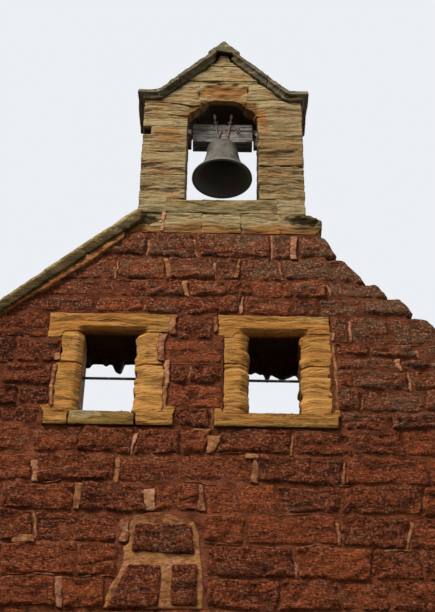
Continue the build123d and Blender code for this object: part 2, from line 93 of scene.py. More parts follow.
X_AXIS, Y_AXIS, Z_AXIS = 0, 1, 2
SEED = 7


def srgb(red, green, blue):
    """A colour as a paint chart gives it, made linear."""
    shares = [value / 255 for value in (red, green, blue)]
    return tuple(s / 12.92 if s <= 0.04045 else ((s + 0.055) / 1.055) ** 2.4 for s in shares)


def colour(name, description, red, green, blue):
    """A colour setting with its default."""
    return FloatVectorProperty(name=name, description=description, subtype="COLOR", size=3, min=0, max=1,
                               default=srgb(red, green, blue))


def length(name, description, metres):
    """A size setting with its default."""
    return FloatProperty(name=name, description=description, default=metres, min=0, unit="LENGTH",
                         subtype="DISTANCE")


class MasonrySettings(bpy.types.PropertyGroup):
    """Sizes and colours of the red rubble and its mortar."""
    proud: length("Proud", "How far a rubble stone may stand out of the wall's face", 0.032)
    recess: length("Mortar recess", "How far the mortar lies behind the wall's face", 0.007)
    joint: length("Joint", "Width of a tight upright joint", 0.007)
    bed: length("Bed", "Height of a level mortar joint", 0.003)
    rounding: length("Rounding", "Radius that weather has worn on a stone's edges", 0.03)
    roughness: length("Roughness", "How far a stone's face wanders in and out", 0.042)
    red: colour("Red stone", "Light parts of the red sandstone", 172, 85, 43)
    deep_red: colour("Deep red stone", "Dark parts of the red sandstone", 74, 34, 19)
    pale_red: colour("Worn red stone", "Grains and ridges that catch the weather", 188, 134, 104)
    grey_stone: colour("Weathered stone", "Grey-brown skin of the most exposed stones", 116, 82, 58)
    # The hollow colour is painted shade: furrows, pits, eaten faces and shaded undersides of the red stone
    # take it, and so do its dark specks.
    hollow: colour("Hollow", "Dirt in furrows and hollows", 26, 14, 9)
    mortar: colour("Mortar", "Pink lime mortar", 190, 134, 102)
    dirty_mortar: colour("Dirty mortar", "Old mortar, stained as dark as the stone", 104, 56, 30)
    buff_mortar: colour("Buff mortar", "Newer buff mortar of the patch", 172, 118, 70)


class SandstoneSettings(bpy.types.PropertyGroup):
    """Sizes and colours of the yellow sandstone."""
    furrow: length("Furrow", "How deep weather has cut between the stone's beds", 0.018)
    voxel: length("Voxel", "Width of the facets that the worn stones are made of", 0.013)
    golden: colour("Golden stone", "Window dressings, light beds", 198, 145, 78)
    ochre: colour("Ochre stone", "Window dressings, stained beds", 146, 94, 40)
    buff: colour("Buff stone", "Bellcote, light beds", 166, 148, 108)
    brown: colour("Brown stone", "Bellcote, stained beds", 120, 92, 56)
    fresh: colour("Fresh stone", "Orange faces where a skin of stone has come away", 168, 104, 44)
    # The crevice colour is painted shade in the yellow stone's furrows, cracks, hollows and shaded
    # undersides, and also the dark of its joints.
    crevice: colour("Crevice", "Dirt in the furrows of the yellow stone", 44, 31, 16)
    coping_light: colour("Coping lichen", "Pale lichen on the coping", 134, 114, 74)
    coping_dark: colour("Coping stone", "Dark olive stone of the coping", 64, 52, 31)
    saddle_light: colour("Bellcote coping lichen", "Pale lichen on the bellcote's coping", 120, 110, 86)
    saddle_dark: colour("Bellcote coping stone", "Dark stone of the bellcote's coping", 60, 54, 42)
    moss: colour("Moss", "Green growth where water runs", 106, 96, 52)


class BellSettings(bpy.types.PropertyGroup):
    """Colours of the bell, its beam and its ironwork."""
    bronze: colour("Bronze", "Dull bell bronze", 50, 45, 38)
    patina: colour("Patina", "Pale grey-green patina", 100, 94, 82)
    soot: colour("Bell inside", "The unlit hollow of the bell", 92, 94, 97)
    timber: colour("Timber", "Grey weathered oak", 136, 131, 124)
    timber_dark: colour("Timber cracks", "Dark grain and cracks", 54, 47, 42)
    rust: colour("Rust", "Bright rust", 116, 96, 86)
    iron: colour("Iron", "Dark iron under the rust", 48, 40, 37)
    bearing_top: colour("Bearing block", "Pale upper end of the bearing blocks", 240, 212, 192)


# Node trees


class Term:
    """An output socket that takes part in sums and products."""

    def __init__(self, graph, socket):
        self.graph = graph
        self.socket = socket

    def __add__(self, other):
        return self.graph.combine("ADD", self, other)

    def __sub__(self, other):
        return self.graph.combine("SUBTRACT", self, other)

    def __rsub__(self, other):
        return self.graph.combine("SUBTRACT", other, self)

    def __mul__(self, other):
        return self.graph.combine("MULTIPLY", self, other)

    def __truediv__(self, other):
        return self.graph.combine("DIVIDE", self, other)

    __radd__ = __add__
    __rmul__ = __mul__


def is_vector(term):
    """Whether a term is a vector or a colour, and not one number."""
    if isinstance(term, Term):
        return term.socket.type in ("VECTOR", "RGBA")
    return isinstance(term, (tuple, Vector))


class Graph:
    """Builds a node tree. Sockets go in as Terms or plain values and come out as Terms."""

    def __init__(self, tree):
        self.tree = tree
        self.column = 0

    def node(self, kind, inputs=None, out=0, **settings):
        """A new node with its inputs and settings. Gives one of its outputs, if it has any."""
        node = self.tree.nodes.new(kind)
        self.column += 1
        node.location = (self.column * 180, -(self.column % 5) * 160)
        for name, value in settings.items():
            setattr(node, name, value)
        for key, value in (inputs or {}).items():
            socket = node.inputs[key]
            if isinstance(value, Term):
                self.tree.links.new(value.socket, socket)
            else:
                socket.default_value = value
        if not node.outputs:
            return node
        return Term(self, node.outputs[out])

    def combine(self, operation, *terms):
        """A sum, a product or the like of one or more terms, of vectors when one of them is one."""
        if not any(map(is_vector, terms)):
            return self.node("ShaderNodeMath", dict(enumerate(terms)), operation=operation)
        wide = [t if is_vector(t) or isinstance(t, Term) else (t, t, t) for t in terms]
        return self.node("ShaderNodeVectorMath", dict(enumerate(wide)), operation=operation)

    def xyz(self, x=0.0, y=0.0, z=0.0):
        """A vector of three numbers."""
        return self.node("ShaderNodeCombineXYZ", {0: x, 1: y, 2: z})

    def split(self, vector):
        """The three numbers of a vector."""
        separate = self.node("ShaderNodeSeparateXYZ", {0: vector}).socket.node
        return [Term(self, socket) for socket in separate.outputs]

    def ramp(self, value, low, high, to_low=0.0, to_high=1.0, smooth=True):
        """Carries a value from one range to another and stops at the ends."""
        kind = "SMOOTHSTEP" if smooth else "LINEAR"
        return self.node("ShaderNodeMapRange", {0: value, 1: low, 2: high, 3: to_low, 4: to_high},
                         interpolation_type=kind)

    def blend(self, share, first, second, mode="MIX"):
        """A colour between two colours."""
        ends = [c if isinstance(c, Term) else (*c, 1.0) for c in (first, second)]
        return self.node("ShaderNodeMix", {0: share, 6: ends[0], 7: ends[1]}, out=2, data_type="RGBA",
                         blend_type=mode)

    def noise(self, vector, scale, detail=4.0, roughness=0.55, distortion=0.0, out=0, seed=0.0):
        """Noise over a place, another for each seed. Output 1 gives it as a vector."""
        inputs = {"Vector": vector, "W": seed, "Scale": scale, "Detail": detail, "Roughness": roughness,
                  "Distortion": distortion}
        return self.node("ShaderNodeTexNoise", inputs, out=out, noise_dimensions="4D")

    def read(self, label, kind="FLOAT_VECTOR"):
        """A value that the points of a piece hold, in a geometry tree."""
        return self.node("GeometryNodeInputNamedAttribute", {"Name": label}, data_type=kind)

    def keep(self, geometry, label, value, kind="FLOAT"):
        """Writes a value on the points of a piece, in a geometry tree."""
        inputs = {"Geometry": geometry, "Name": label, "Value": value}
        return self.node("GeometryNodeStoreNamedAttribute", inputs, data_type=kind, domain="POINT")


def new_group(name, tree_type, inputs, outputs):
    """A node tree with named sockets, each given as its name, kind and default. Gives the tree, its graph
    and its inputs by name."""
    tree = bpy.data.node_groups.new(name, tree_type)
    for direction, sockets in (("INPUT", inputs), ("OUTPUT", outputs)):
        for label, kind, default in sockets:
            socket = tree.interface.new_socket(label, in_out=direction, socket_type="NodeSocket" + kind)
            if default is not None:
                socket.default_value = default
    graph = Graph(tree)
    start = tree.nodes.new("NodeGroupInput")
    given = {socket.name: Term(graph, socket) for socket in start.outputs}
    return tree, graph, given


def end_group(graph, **results):
    """Joins a tree's results to its outputs."""
    end = graph.tree.nodes.new("NodeGroupOutput")
    end.location = (graph.column * 180 + 200, 0)
    for socket in end.inputs:
        if socket.name in results:
            graph.tree.links.new(results[socket.name].socket, socket)


def shader_group(name, sizes, *results):
    """Starts a shader group that takes a position and some numbers and gives numbers."""
    inputs = [("Position", "Vector", None)] + [(label, "Float", value) for label, value in sizes.items()]
    return new_group(name, "ShaderNodeTree", inputs, [(label, "Float", None) for label in results])


# Shader groups


def bedding_group():
    """Level beds of a sandstone: light and dark layers that waver, furrows that the weather has cut along
    them and fine cracks between them."""
    tree, g, given = shader_group("Sandstone bedding", {"Beds": 34.0, "Waver": 0.02, "Shift": 0.0},
                                  "Layer", "Furrow", "Crack")
    place = given["Position"]
    warp = g.noise(place, 2.6, 2.0, out=1, seed=given["Shift"])
    bent = place + (warp - 0.5) * g.xyz(0.0, 0.0, 1.0) * given["Waver"] * 4.0
    layer = g.noise(bent * g.xyz(2.2, 2.2, given["Beds"]), 1.0, 6.0, 0.68, seed=given["Shift"])
    cut = g.noise(bent * g.xyz(3.4, 3.4, given["Beds"] * 0.8), 1.0, 3.0, 0.5, seed=given["Shift"] + 9.0)
    split = g.noise(bent * g.xyz(1.6, 1.6, given["Beds"] * 0.55), 1.0, 4.0, 0.6, seed=given["Shift"] + 5.0)
    near = g.combine("ABSOLUTE", split - 0.5)
    end_group(g, Layer=g.ramp(layer, 0.32, 0.68, smooth=False), Furrow=g.ramp(cut, 0.44, 0.34),
              Crack=g.ramp(near, 0.016, 0.004))
    return tree


def crag_group():
    """The broken face of a coarse stone: its height, its pits and the ridges that catch the weather."""
    tree, g, given = shader_group("Craggy face", {"Size": 0.06, "Flatness": 1.8, "Shift": 0.0},
                                  "Crag", "Pit", "Ridge")
    place = given["Position"] * g.xyz(1.0, 1.0, given["Flatness"]) / given["Size"]
    crag = g.noise(place, 1.0, 7.0, 0.66, 0.5, seed=given["Shift"])
    hole = g.noise(place, 0.8, 4.0, 0.6, 0.8, seed=given["Shift"] + 3.0)
    end_group(g, Crag=g.ramp(crag, 0.3, 0.7, smooth=False), Pit=g.ramp(hole, 0.4, 0.3),
              Ridge=g.ramp(crag, 0.56, 0.7))
    return tree


def blotch_group():
    """Soft-edged patches, such as stains, moss or fallen skin."""
    tree, g, given = shader_group("Blotches", {"Size": 0.3, "Cover": 0.4, "Softness": 0.1, "Shift": 0.0},
                                  "Mask")
    value = g.noise(given["Position"] / given["Size"], 1.0, 5.0, 0.6, 0.3, seed=given["Shift"])
    edge = 0.72 - given["Cover"] * 0.44
    end_group(g, Mask=g.ramp(value, edge - given["Softness"], edge + given["Softness"]))
    return tree


def grain_group():
    """Sand grains and small pits: a height and a speckle."""
    tree, g, given = shader_group("Sand grain", {"Size": 0.004}, "Height", "Speckle")
    place = given["Position"] / given["Size"]
    fine = g.noise(place, 0.5, 3.0, 0.6)
    pits = g.node("ShaderNodeTexVoronoi", {"Vector": place, "Scale": 0.09, "Randomness": 1.0})
    pit = g.ramp(pits, 0.0, 0.32)
    end_group(g, Height=fine * 0.5 + pit * 0.5, Speckle=g.noise(place, 0.16, 2.0))
    return tree


def lichen_group():
    """Round crusts of lichen in scattered colonies."""
    tree, g, given = shader_group("Lichen crusts", {"Size": 0.05, "Cover": 0.4}, "Mask")
    place = given["Position"] / given["Size"]
    ragged = place + (g.noise(place, 1.6, 3.0, out=1) - 0.5) * 0.9
    cell = g.node("ShaderNodeTexVoronoi", {"Vector": ragged, "Scale": 0.8, "Randomness": 1.0})
    crust = g.ramp(cell, 0.52, 0.3)
    colony = g.noise(place, 0.17, 3.0, 0.6, seed=3.0)
    edge = 0.7 - given["Cover"] * 0.4
    end_group(g, Mask=crust * g.ramp(colony, edge - 0.04, edge + 0.06))
    return tree


# The node groups that more than one piece or material uses, each made once.
GROUPS = {}


def shared(graph, group, **inputs):
    """Places a shader group in a material with its own values, and gives the group's results in order."""
    node = graph.tree.nodes.new("ShaderNodeGroup")
    node.node_tree = GROUPS[group]
    graph.column += 1
    node.location = (graph.column * 180, 200)
    for name, value in inputs.items():
        socket = node.inputs[name.capitalize()]
        if isinstance(value, Term):
            graph.tree.links.new(value.socket, socket)
        else:
            socket.default_value = value
    results = [Term(graph, socket) for socket in node.outputs]
    return results[0] if len(results) == 1 else results


# Materials


def start_material(name):
    """A new material with its graph, its shader and the point's place."""
    material = bpy.data.materials.new(name)
    material.use_nodes = True
    graph = Graph(material.node_tree)
    shader = material.node_tree.nodes["Principled BSDF"]
    place = graph.node("ShaderNodeTexCoord", out=3)
    return material, graph, shader, place


def finish_material(graph, shader, base, height, depth, roughness=0.9, rough_map=None, shine=0.06):
    """Joins a colour and a height to the shader."""
    links = graph.tree.links
    links.new(base.socket, shader.inputs["Base Color"])
    bump = graph.node("ShaderNodeBump", {"Height": height, "Distance": depth, "Strength": 1.0})
    links.new(bump.socket, shader.inputs["Normal"])
    if rough_map is None:
        shader.inputs["Roughness"].default_value = roughness
    else:
        links.new(rough_map.socket, shader.inputs["Roughness"])
    shader.inputs["Specular IOR Level"].default_value = shine


def stone_finish(graph):
    """The finish attribute of a stone: its tone, its kind and its own number."""
    attribute = graph.node("ShaderNodeAttribute", out=1, attribute_name="finish")
    return graph.split(attribute)


def wear(graph, name):
    """A share from 0 to 1 that a piece holds at each point, such as how fresh a broken face is."""
    return graph.node("ShaderNodeAttribute", out=2, attribute_name=name)


def rubble_material(colours):
    """Red sandstone in rough, level-bedded blocks, greyer where it is most exposed, with painted shade in
    its hollows.
    """
    material, g, shader, place = start_material("Red rubble")
    tone, kind, number = stone_finish(g)
    own = place + g.xyz(number * 3.1, number * 1.7, number * 0.9)
    layer, furrow = shared(g, "bedding", position=own, beds=30.0, waver=0.05, shift=number)[:2]
    crag, pit, ridge = shared(g, "crag", position=own, size=0.03, flatness=2.7, shift=number)
    broad = shared(g, "crag", position=own, size=0.1, flatness=1.7, shift=number + 4.0)[0]
    height, speckle = shared(g, "grain", position=place, size=0.003)
    mix = layer * 0.45 + tone * 0.45 + crag + broad * 0.5 + speckle * 0.3 - 0.83
    mix = mix + g.combine("MINIMUM", kind, 0.0) * 0.6
    base = g.blend(g.ramp(mix, 0.0, 1.0), colours.deep_red, colours.red)
    skin = shared(g, "blotch", position=own * g.xyz(1.0, 1.0, 2.2), size=0.24, cover=0.45,
                  softness=0.12, shift=number)
    base = g.blend(g.ramp(skin * 0.6 + kind * 0.75 - 0.25, 0.0, 1.0), base, colours.grey_stone)
    rusty = shared(g, "blotch", position=place * g.xyz(1.0, 1.0, 2.5), size=0.13, cover=0.3,
                   softness=0.12, shift=5.0)
    base = g.blend(rusty * 0.3, base, colours.dirty_mortar)
    dark = shared(g, "blotch", position=place, size=0.55, cover=0.4, softness=0.16, shift=20.0)
    base = g.blend(dark * 0.3, base, colours.deep_red)
    smeared = shared(g, "blotch", position=place, size=0.14, cover=0.42, softness=0.14, shift=12.0)
    rim = g.ramp(wear(g, "margin") + crag * 0.016, 0.018, 0.005)
    base = g.blend(rim * smeared * 0.4, base, g.blend(0.5, colours.mortar, colours.dirty_mortar))
    base = g.blend(ridge * (0.55 + kind * 0.5), base, colours.pale_red)
    base = g.blend(g.ramp(speckle, 0.54, 0.64) * (0.5 + kind * 0.3), base, colours.pale_red)
    # Dark specks, then painted shade: pits, furrows, eaten hollows and the shaded places that a piece
    # marks.
    base = g.blend(g.ramp(speckle, 0.44, 0.34) * 0.6, base, colours.hollow)
    base = g.blend(pit * 0.9, base, colours.hollow)
    base = g.blend(furrow * 0.55, base, colours.hollow)
    base = g.blend(wear(g, "hollow") * 0.8, base, colours.hollow)
    base = g.blend(wear(g, "stain"), base, colours.hollow)
    rough = crag * 0.65 + broad * 0.4 + height * 0.14 + layer * 0.2 - furrow * 0.4 - pit * 0.4
    finish_material(g, shader, base, rough, 0.034)
    return material


def mortar_material(name, clean, second, stain):
    """Lime mortar, floated by hand, with sand and stains. Its tone says how clean it has stayed, and a
    very low tone paints a shadow.
    """
    material, g, shader, place = start_material(name)
    tone, kind, number = stone_finish(g)
    height, speckle = shared(g, "grain", position=place, size=0.005)
    crag, pit = shared(g, "crag", position=place, size=0.04, flatness=1.5)[:2]
    base = g.blend(kind, clean, second)
    dirt_and_shadow = shared(g, "blotch", position=place, size=0.07, cover=0.5, softness=0.16, shift=number)
    rim = g.ramp(wear(g, "margin") + crag * 0.012, 0.013, 0.004)
    # Dirt, stained rims and a low tone darken the mortar; on the patch a low tone is a painted shadow.
    dirt_and_shadow = dirt_and_shadow * 0.5 + (1.0 - tone) * 0.75 + rim * 0.65 + speckle * 0.4 - crag * 0.5 + 0.1
    base = g.blend(g.ramp(dirt_and_shadow, 0.0, 1.0), base, stain)
    base = g.blend(pit * 0.5, base, stain)
    finish_material(g, shader, base, height * 0.25 + crag * 0.6 - pit * 0.3, 0.018)
    return material


def joint_material(colours):
    """The old mortar deep in the wall's joints, stained as dark as the stone, with a rough face."""
    material, g, shader, place = start_material("Stained mortar")
    crag, pit, ridge = shared(g, "crag", position=place, size=0.045, flatness=1.6)
    region = shared(g, "blotch", position=place * g.xyz(1.0, 1.0, 1.5), size=0.3, cover=0.5,
                    softness=0.15)
    base = g.blend(region * 0.8, colours.deep_red, colours.dirty_mortar)
    clean = shared(g, "blotch", position=place, size=0.13, cover=0.46, softness=0.14, shift=6.0)
    washed = g.ramp(g.split(place)[2], 6.2, 5.6, 0.2, 0.42)
    base = g.blend(clean * washed, base, g.blend(0.6, colours.mortar, colours.red))
    base = g.blend(ridge * 0.25, base, colours.red)
    # Painted shade in the mortar's pits.
    base = g.blend(pit * 0.8, base, colours.hollow)
    finish_material(g, shader, base, crag * 0.7 - pit * 0.4, 0.025)
    return material


def sandstone_material(name, colours, light, stained, fresh, lichen, lichen_cover, moss_cover, beds,
                       stains=0.3):
    """Yellow sandstone cut by the weather along its beds, with stains, lichen, moss, fresh faces and
    painted shade.
    """
    material, g, shader, place = start_material(name)
    tone, kind, number = stone_finish(g)
    own = place + g.xyz(number * 2.3, number * 1.1, number * 0.31)
    layer, furrow, crack = shared(g, "bedding", position=own, beds=beds, waver=0.025, shift=number)
    crag, pit = shared(g, "crag", position=own, size=0.035, flatness=2.6, shift=number)[:2]
    height, speckle = shared(g, "grain", position=place, size=0.005)
    mix = layer * 0.75 + tone * 0.3 + speckle * 0.2 + crag * 0.3 - 0.32
    base = g.blend(g.ramp(mix, 0.0, 1.0), stained, light)
    stain = shared(g, "blotch", position=own * g.xyz(1.0, 1.0, 2.4), size=0.26, cover=stains,
                   softness=0.12, shift=2.0)
    base = g.blend(stain * 0.5, base, fresh)
    crust = shared(g, "lichen", position=place, size=0.035, cover=lichen_cover)
    base = g.blend(crust * 0.55, base, lichen)
    green = shared(g, "blotch", position=place, size=0.35, cover=moss_cover, softness=0.14, shift=8.0)
    base = g.blend(g.ramp(green * 0.6 + kind, 0.0, 1.2), base, colours.moss)
    raw = g.blend(g.ramp(layer * 0.6 + crag * 0.6 - 0.2, 0.0, 1.0), stained, fresh)
    base = g.blend(g.ramp(wear(g, "fresh") + crag * 0.5 - 0.45, 0.0, 0.4), base, raw)
    pale = shared(g, "lichen", position=place, size=0.03, cover=1.0)
    crusted = g.ramp(wear(g, "lichen") + pale * 0.5 + crag * 0.4 - 0.75, 0.0, 0.4)
    base = g.blend(crusted * 0.7, base, lichen)
    # Painted shade in furrows and cracks, darker pits, and painted shade in hollows and in the shaded
    # places that a piece marks.
    base = g.blend(furrow * 0.22 + crack * 0.34, base, colours.crevice)
    base = g.blend(pit * 0.25, base, colours.crevice)
    base = g.blend(wear(g, "hollow") * 0.55, base, colours.crevice)
    base = g.blend(wear(g, "stain"), base, colours.crevice)
    rough = crag * 0.35 + height * 0.1 + layer * 0.4 - furrow * 0.5 - crack * 0.5
    finish_material(g, shader, base, rough, 0.014)
    return material


def flaking_material(name, flake, ground, tips=0.0):
    """A dark ground under paler flakes: rusted iron, or the grime deep in a joint. tips says how much
    paler the hangers' upper tips are."""
    material, g, shader, place = start_material(name)
    flakes = shared(g, "blotch", position=place, size=0.02, cover=0.6, softness=0.1)
    height, speckle = shared(g, "grain", position=place, size=0.002)
    base = g.blend(g.ramp(flakes * 0.7 + speckle * 0.5, 0.1, 0.9), ground, flake)
    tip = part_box("hangers")[1].z
    base = g.blend(g.ramp(g.split(place)[2], tip - 0.07, tip - 0.04) * tips, base, srgb(168, 158, 148))
    finish_material(g, shader, base, height * 0.5 + flakes * 0.5, 0.002,
                    rough_map=g.ramp(flakes, 0.0, 1.0, 0.7, 0.92))
    return material


def timber_material(colours):
    """Grey oak whose grain runs along the beam, with long drying cracks."""
    material, g, shader, place = start_material("Weathered timber")
    along = place * g.xyz(3.0, 26.0, 26.0)
    grain = g.noise(along, 2.2, 6.0, 0.65, 0.4)
    crack = g.ramp(g.noise(place * g.xyz(1.6, 20.0, 20.0), 1.0, 2.0, 0.5, 0.6, seed=4.0), 0.4, 0.35)
    base = g.blend(g.ramp(grain, 0.32, 0.68), colours.timber_dark, colours.timber)
    wet = shared(g, "blotch", position=place, size=0.12, cover=0.3, softness=0.12)
    base = g.blend(wet * 0.5, base, colours.timber_dark)
    base = g.blend(crack, base, colours.timber_dark)
    finish_material(g, shader, base, grain * 0.6 - crack, 0.004, roughness=0.86)
    return material


def bearing_material(colours):
    """A bearing block: pale at its upper end, rusty brown below the pin."""
    material, g, shader, place = start_material("Bearing block")
    flakes = shared(g, "blotch", position=place, size=0.03, cover=0.5, softness=0.1)
    base = g.blend(g.ramp(flakes, 0.0, 1.0), colours.iron, colours.rust)
    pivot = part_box("gudgeons")[0].z
    top = g.ramp(g.split(place)[2] + flakes * 0.03, pivot + 0.01, pivot + 0.03)
    base = g.blend(top, base, colours.bearing_top)
    finish_material(g, shader, base, flakes, 0.002)
    return material


def bronze_material(colours):
    """Bell bronze gone dull, with patina runs down from the shoulder, a paler lip and painted shade in its
    hollow.
    """
    material, g, shader, place = start_material("Bell bronze")
    low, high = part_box("bell")
    lift = g.split(place)[2] - low.z
    runs = g.noise(place * g.xyz(34.0, 34.0, 6.0), 1.0, 6.0, 0.66, 0.2)
    cloud = shared(g, "blotch", position=place, size=0.1, cover=0.5, softness=0.16)
    height, speckle = shared(g, "grain", position=place, size=0.003)
    share = g.ramp(runs * 0.9 + cloud * 0.35 + g.ramp(lift, 0.06, 0.0) * 0.5, 0.38, 0.88)
    base = g.blend(share, colours.bronze, colours.patina)
    base = g.blend(speckle * 0.3, base, colours.bronze)
    middle = ((low.x + high.x) / 2, (low.y + high.y) / 2, 0.0)
    outward = g.combine("NORMALIZE", (place - middle) * (1.0, 1.0, 0.0))
    face = g.node("ShaderNodeTexCoord", out=1)
    facing = g.node("ShaderNodeVectorMath", {0: outward, 1: face}, out=1, operation="DOT_PRODUCT")
    # Painted shade: faces that look into the bell take the inside colour.
    inside = g.ramp(facing, 0.12, -0.02)
    base = g.blend(inside, base, colours.soot)
    finish_material(g, shader, base, height * 0.4 + runs * 0.2, 0.0015, shine=0.2,
                    rough_map=g.ramp(share, 0.0, 1.0, 0.62, 0.85))
    return material


MATERIALS = {}


def make_materials():
    """Every finish, made once from the settings."""
    scene = bpy.context.scene
    wall, stone, bell = scene.bellcote_masonry, scene.bellcote_sandstone, scene.bellcote_bell
    GROUPS.update(bedding=bedding_group(), crag=crag_group(), blotch=blotch_group(), grain=grain_group(),
                  lichen=lichen_group())
    MATERIALS.update(
        rubble=rubble_material(wall),
        joint=joint_material(wall),
        pointing=mortar_material("Pink mortar", wall.mortar, wall.buff_mortar, wall.dirty_mortar),
        patch_mortar=mortar_material("Buff mortar", wall.buff_mortar, wall.mortar, wall.dirty_mortar),
        dressing=sandstone_material("Golden dressings", stone, stone.golden, stone.ochre, stone.fresh,
                                    stone.buff, 0.2, 0.08, beds=26.0),
        bellcote=sandstone_material("Bellcote stone", stone, stone.buff, stone.brown, stone.fresh,
                                    stone.coping_light, 0.4, 0.1, beds=30.0, stains=0.22),
        coping=sandstone_material("Coping stone", stone, stone.coping_light, stone.coping_dark,
                                  stone.ochre, stone.buff, 0.4, 0.35, beds=18.0),
        saddle=sandstone_material("Saddle coping", stone, stone.saddle_light, stone.saddle_dark,
                                  stone.brown, stone.buff, 0.3, 0.2, beds=22.0),
        crevice=flaking_material("Joints of the yellow stone", stone.coping_dark, stone.crevice),
        rust=flaking_material("Rusted iron", bell.rust, bell.iron, tips=0.75),
        bars=flaking_material("Window bars", bell.iron, bell.soot),
        bearing=bearing_material(bell),
        timber=timber_material(bell),
        bronze=bronze_material(bell),
    )


# Meshes


def new_object(name, mesh):
    """An object of a mesh, linked to the scene at the origin."""
    obj = bpy.data.objects.new(name, mesh)
    bpy.context.scene.collection.objects.link(obj)
    return obj


def plain(obj):
    """Turns an object's modifiers into its own mesh."""
    graph = bpy.context.evaluated_depsgraph_get()
    mesh = bpy.data.meshes.new_from_object(obj.evaluated_get(graph), preserve_all_data_layers=True,
                                           depsgraph=graph)
    obj.modifiers.clear()
    rough = obj.data
    obj.data = mesh
    bpy.data.meshes.remove(rough)
    return obj


def with_nodes(obj, tree, **values):
    """Runs a geometry node tree on an object and keeps the result as its mesh."""
    modifier = obj.modifiers.new(tree.name, "NODES")
    modifier.node_group = tree
    for item in tree.interface.items_tree:
        if item.item_type == "SOCKET" and item.in_out == "INPUT" and item.name in values:
            modifier[item.identifier] = values[item.name]
    return plain(obj)


def settle(obj, slot, *nodes):
    """Gives a finished piece its body and hides the nodes that it stands for. slot is not used."""
    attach(obj, "gable")
    if nodes:
        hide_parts(*nodes)
    return obj


def paint(node, material):
    """Gives a CAD node that stays a finish."""
    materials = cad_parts[node].data.materials
    materials.clear()
    materials.append(material)


def cad_copy(node):
    """A merged copy of a CAD node's mesh."""
    shape = bmesh.new()
    shape.from_mesh(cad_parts[node].data)
    bmesh.ops.remove_doubles(shape, verts=shape.verts, dist=1e-5)
    bmesh.ops.dissolve_limit(shape, angle_limit=0.001, verts=shape.verts, edges=shape.edges)
    return shape


def solids_of(shape):
    """The separate solids of a mesh."""
    left = set(shape.verts)
    found = []
    while left:
        island = set()
        front = [left.pop()]
        while front:
            vert = front.pop()
            island.add(vert)
            for edge in vert.link_edges:
                other = edge.other_vert(vert)
                if other in left:
                    left.remove(other)
                    front.append(other)
        part = bmesh.new()
        copies = {v: part.verts.new(v.co) for v in sorted(island, key=lambda v: v.index)}
        faces = {f for v in island for f in v.link_faces}
        for face in sorted(faces, key=lambda f: f.index):
            part.faces.new([copies[v] for v in face.verts])
        found.append(part)
    found.sort(key=lambda part: min(tuple(v.co) for v in part.verts))
    return found


def cut_solid(part, axis, place, gap):
    """Cuts a solid in two along a plane and opens a joint between the halves."""
    halves = []
    for side in (-1, 1):
        half = part.copy()
        normal = Vector((0, 0, 0))
        normal[axis] = side
        point = Vector((0, 0, 0))
        point[axis] = place + side * gap / 2
        whole = half.verts[:] + half.edges[:] + half.faces[:]
        bmesh.ops.bisect_plane(half, geom=whole, plane_co=point, plane_no=normal, clear_inner=True)
        edges = [e for e in half.edges if len(e.link_faces) == 1]
        if edges:
            bmesh.ops.holes_fill(half, edges=edges)
        if half.faces:
            halves.append(half)
    return halves


# The least length that a cut leaves on each side of a stone.
LEAST_STONE = 0.03


def stone_parts(node, cuts=()):
    """The solids of a node, cut into the stones that it stands for. A cut is an axis and a place."""
    shape = cad_copy(node)
    shape.verts.index_update()
    shape.faces.index_update()
    parts = solids_of(shape)
    shape.free()
    for axis, place in cuts:
        pieces = []
        for part in parts:
            values = [v.co[axis] for v in part.verts]
            if min(values) + LEAST_STONE < place < max(values) - LEAST_STONE:
                pieces += cut_solid(part, axis, place, 0.001)
                part.free()
            else:
                pieces.append(part)
        parts = pieces
    return parts


# A stone with at least this half length keeps its length.
LONG_HALF = 0.5


def lengthen(part, axis, amount):
    """Grows a stone at both ends until it meets its neighbours."""
    along = Vector(axis)
    places = [v.co @ along for v in part.verts]
    middle, half = (min(places) + max(places)) / 2, (max(places) - min(places)) / 2
    if half < LONG_HALF:
        for vert, place in zip(part.verts, places):
            vert.co += along * ((place - middle) * amount / half)


def move_corners(parts, low, high, shift):
    """Moves the corners of some solids that lie inside a box."""
    for part in parts:
        for vert in part.verts:
            if all(a <= c <= b for a, c, b in zip(low, vert.co, high)):
                vert.co += Vector(shift)


def slab(outline, front_y, thickness):
    """A flat solid along the wall's face. Its outline is given as x and z."""
    shape = bmesh.new()
    face = shape.faces.new([shape.verts.new((x, front_y, z)) for x, z in outline])
    for made in bmesh.ops.extrude_face_region(shape, geom=[face])["geom"]:
        if isinstance(made, bmesh.types.BMVert):
            made.co.y += thickness
    bmesh.ops.recalc_face_normals(shape, faces=shape.faces)
    return shape


def add_part(whole, part):
    """Adds a solid to a mesh that gathers several."""
    mesh = bpy.data.meshes.new("part")
    part.to_mesh(mesh)
    part.free()
    whole.from_mesh(mesh)
    bpy.data.meshes.remove(mesh)


def store(mesh, label, kind, values):
    """Writes one value for each point of a mesh."""
    attribute = mesh.attributes.new(label, kind, "POINT")
    field = "vector" if kind == "FLOAT_VECTOR" else "value"
    attribute.data.foreach_set(field, np.asarray(values, np.float32).ravel())


def smoothstep(values, low, high):
    """A share that goes smoothly from 0 at low to 1 at high, either way round."""
    share = np.clip((values - low) / (high - low), 0, 1)
    return share * share * (3 - 2 * share)


def spot_mask(points, centre, half_size, y_limit=None):
    """1 inside an oval seen from the front, 0 well outside it."""
    x, z = (points[:, 0] - centre[0]) / half_size[0], (points[:, 2] - centre[1]) / half_size[1]
    waver = 0.22 * np.sin(points[:, 0] * 37 + centre[0] * 9) * np.cos(points[:, 2] * 41)
    mask = 1 - smoothstep(np.sqrt(x * x + z * z) + waver, 0.7, 1.15)
    if y_limit is not None:
        mask = mask * (1 - smoothstep(points[:, 1], y_limit, y_limit + 0.03))
    return mask


# Worn stones: remeshed, furrowed, pitted


SHAPE = ("Geometry", "Geometry", None)
FINISH = ("Material", "Material", None)


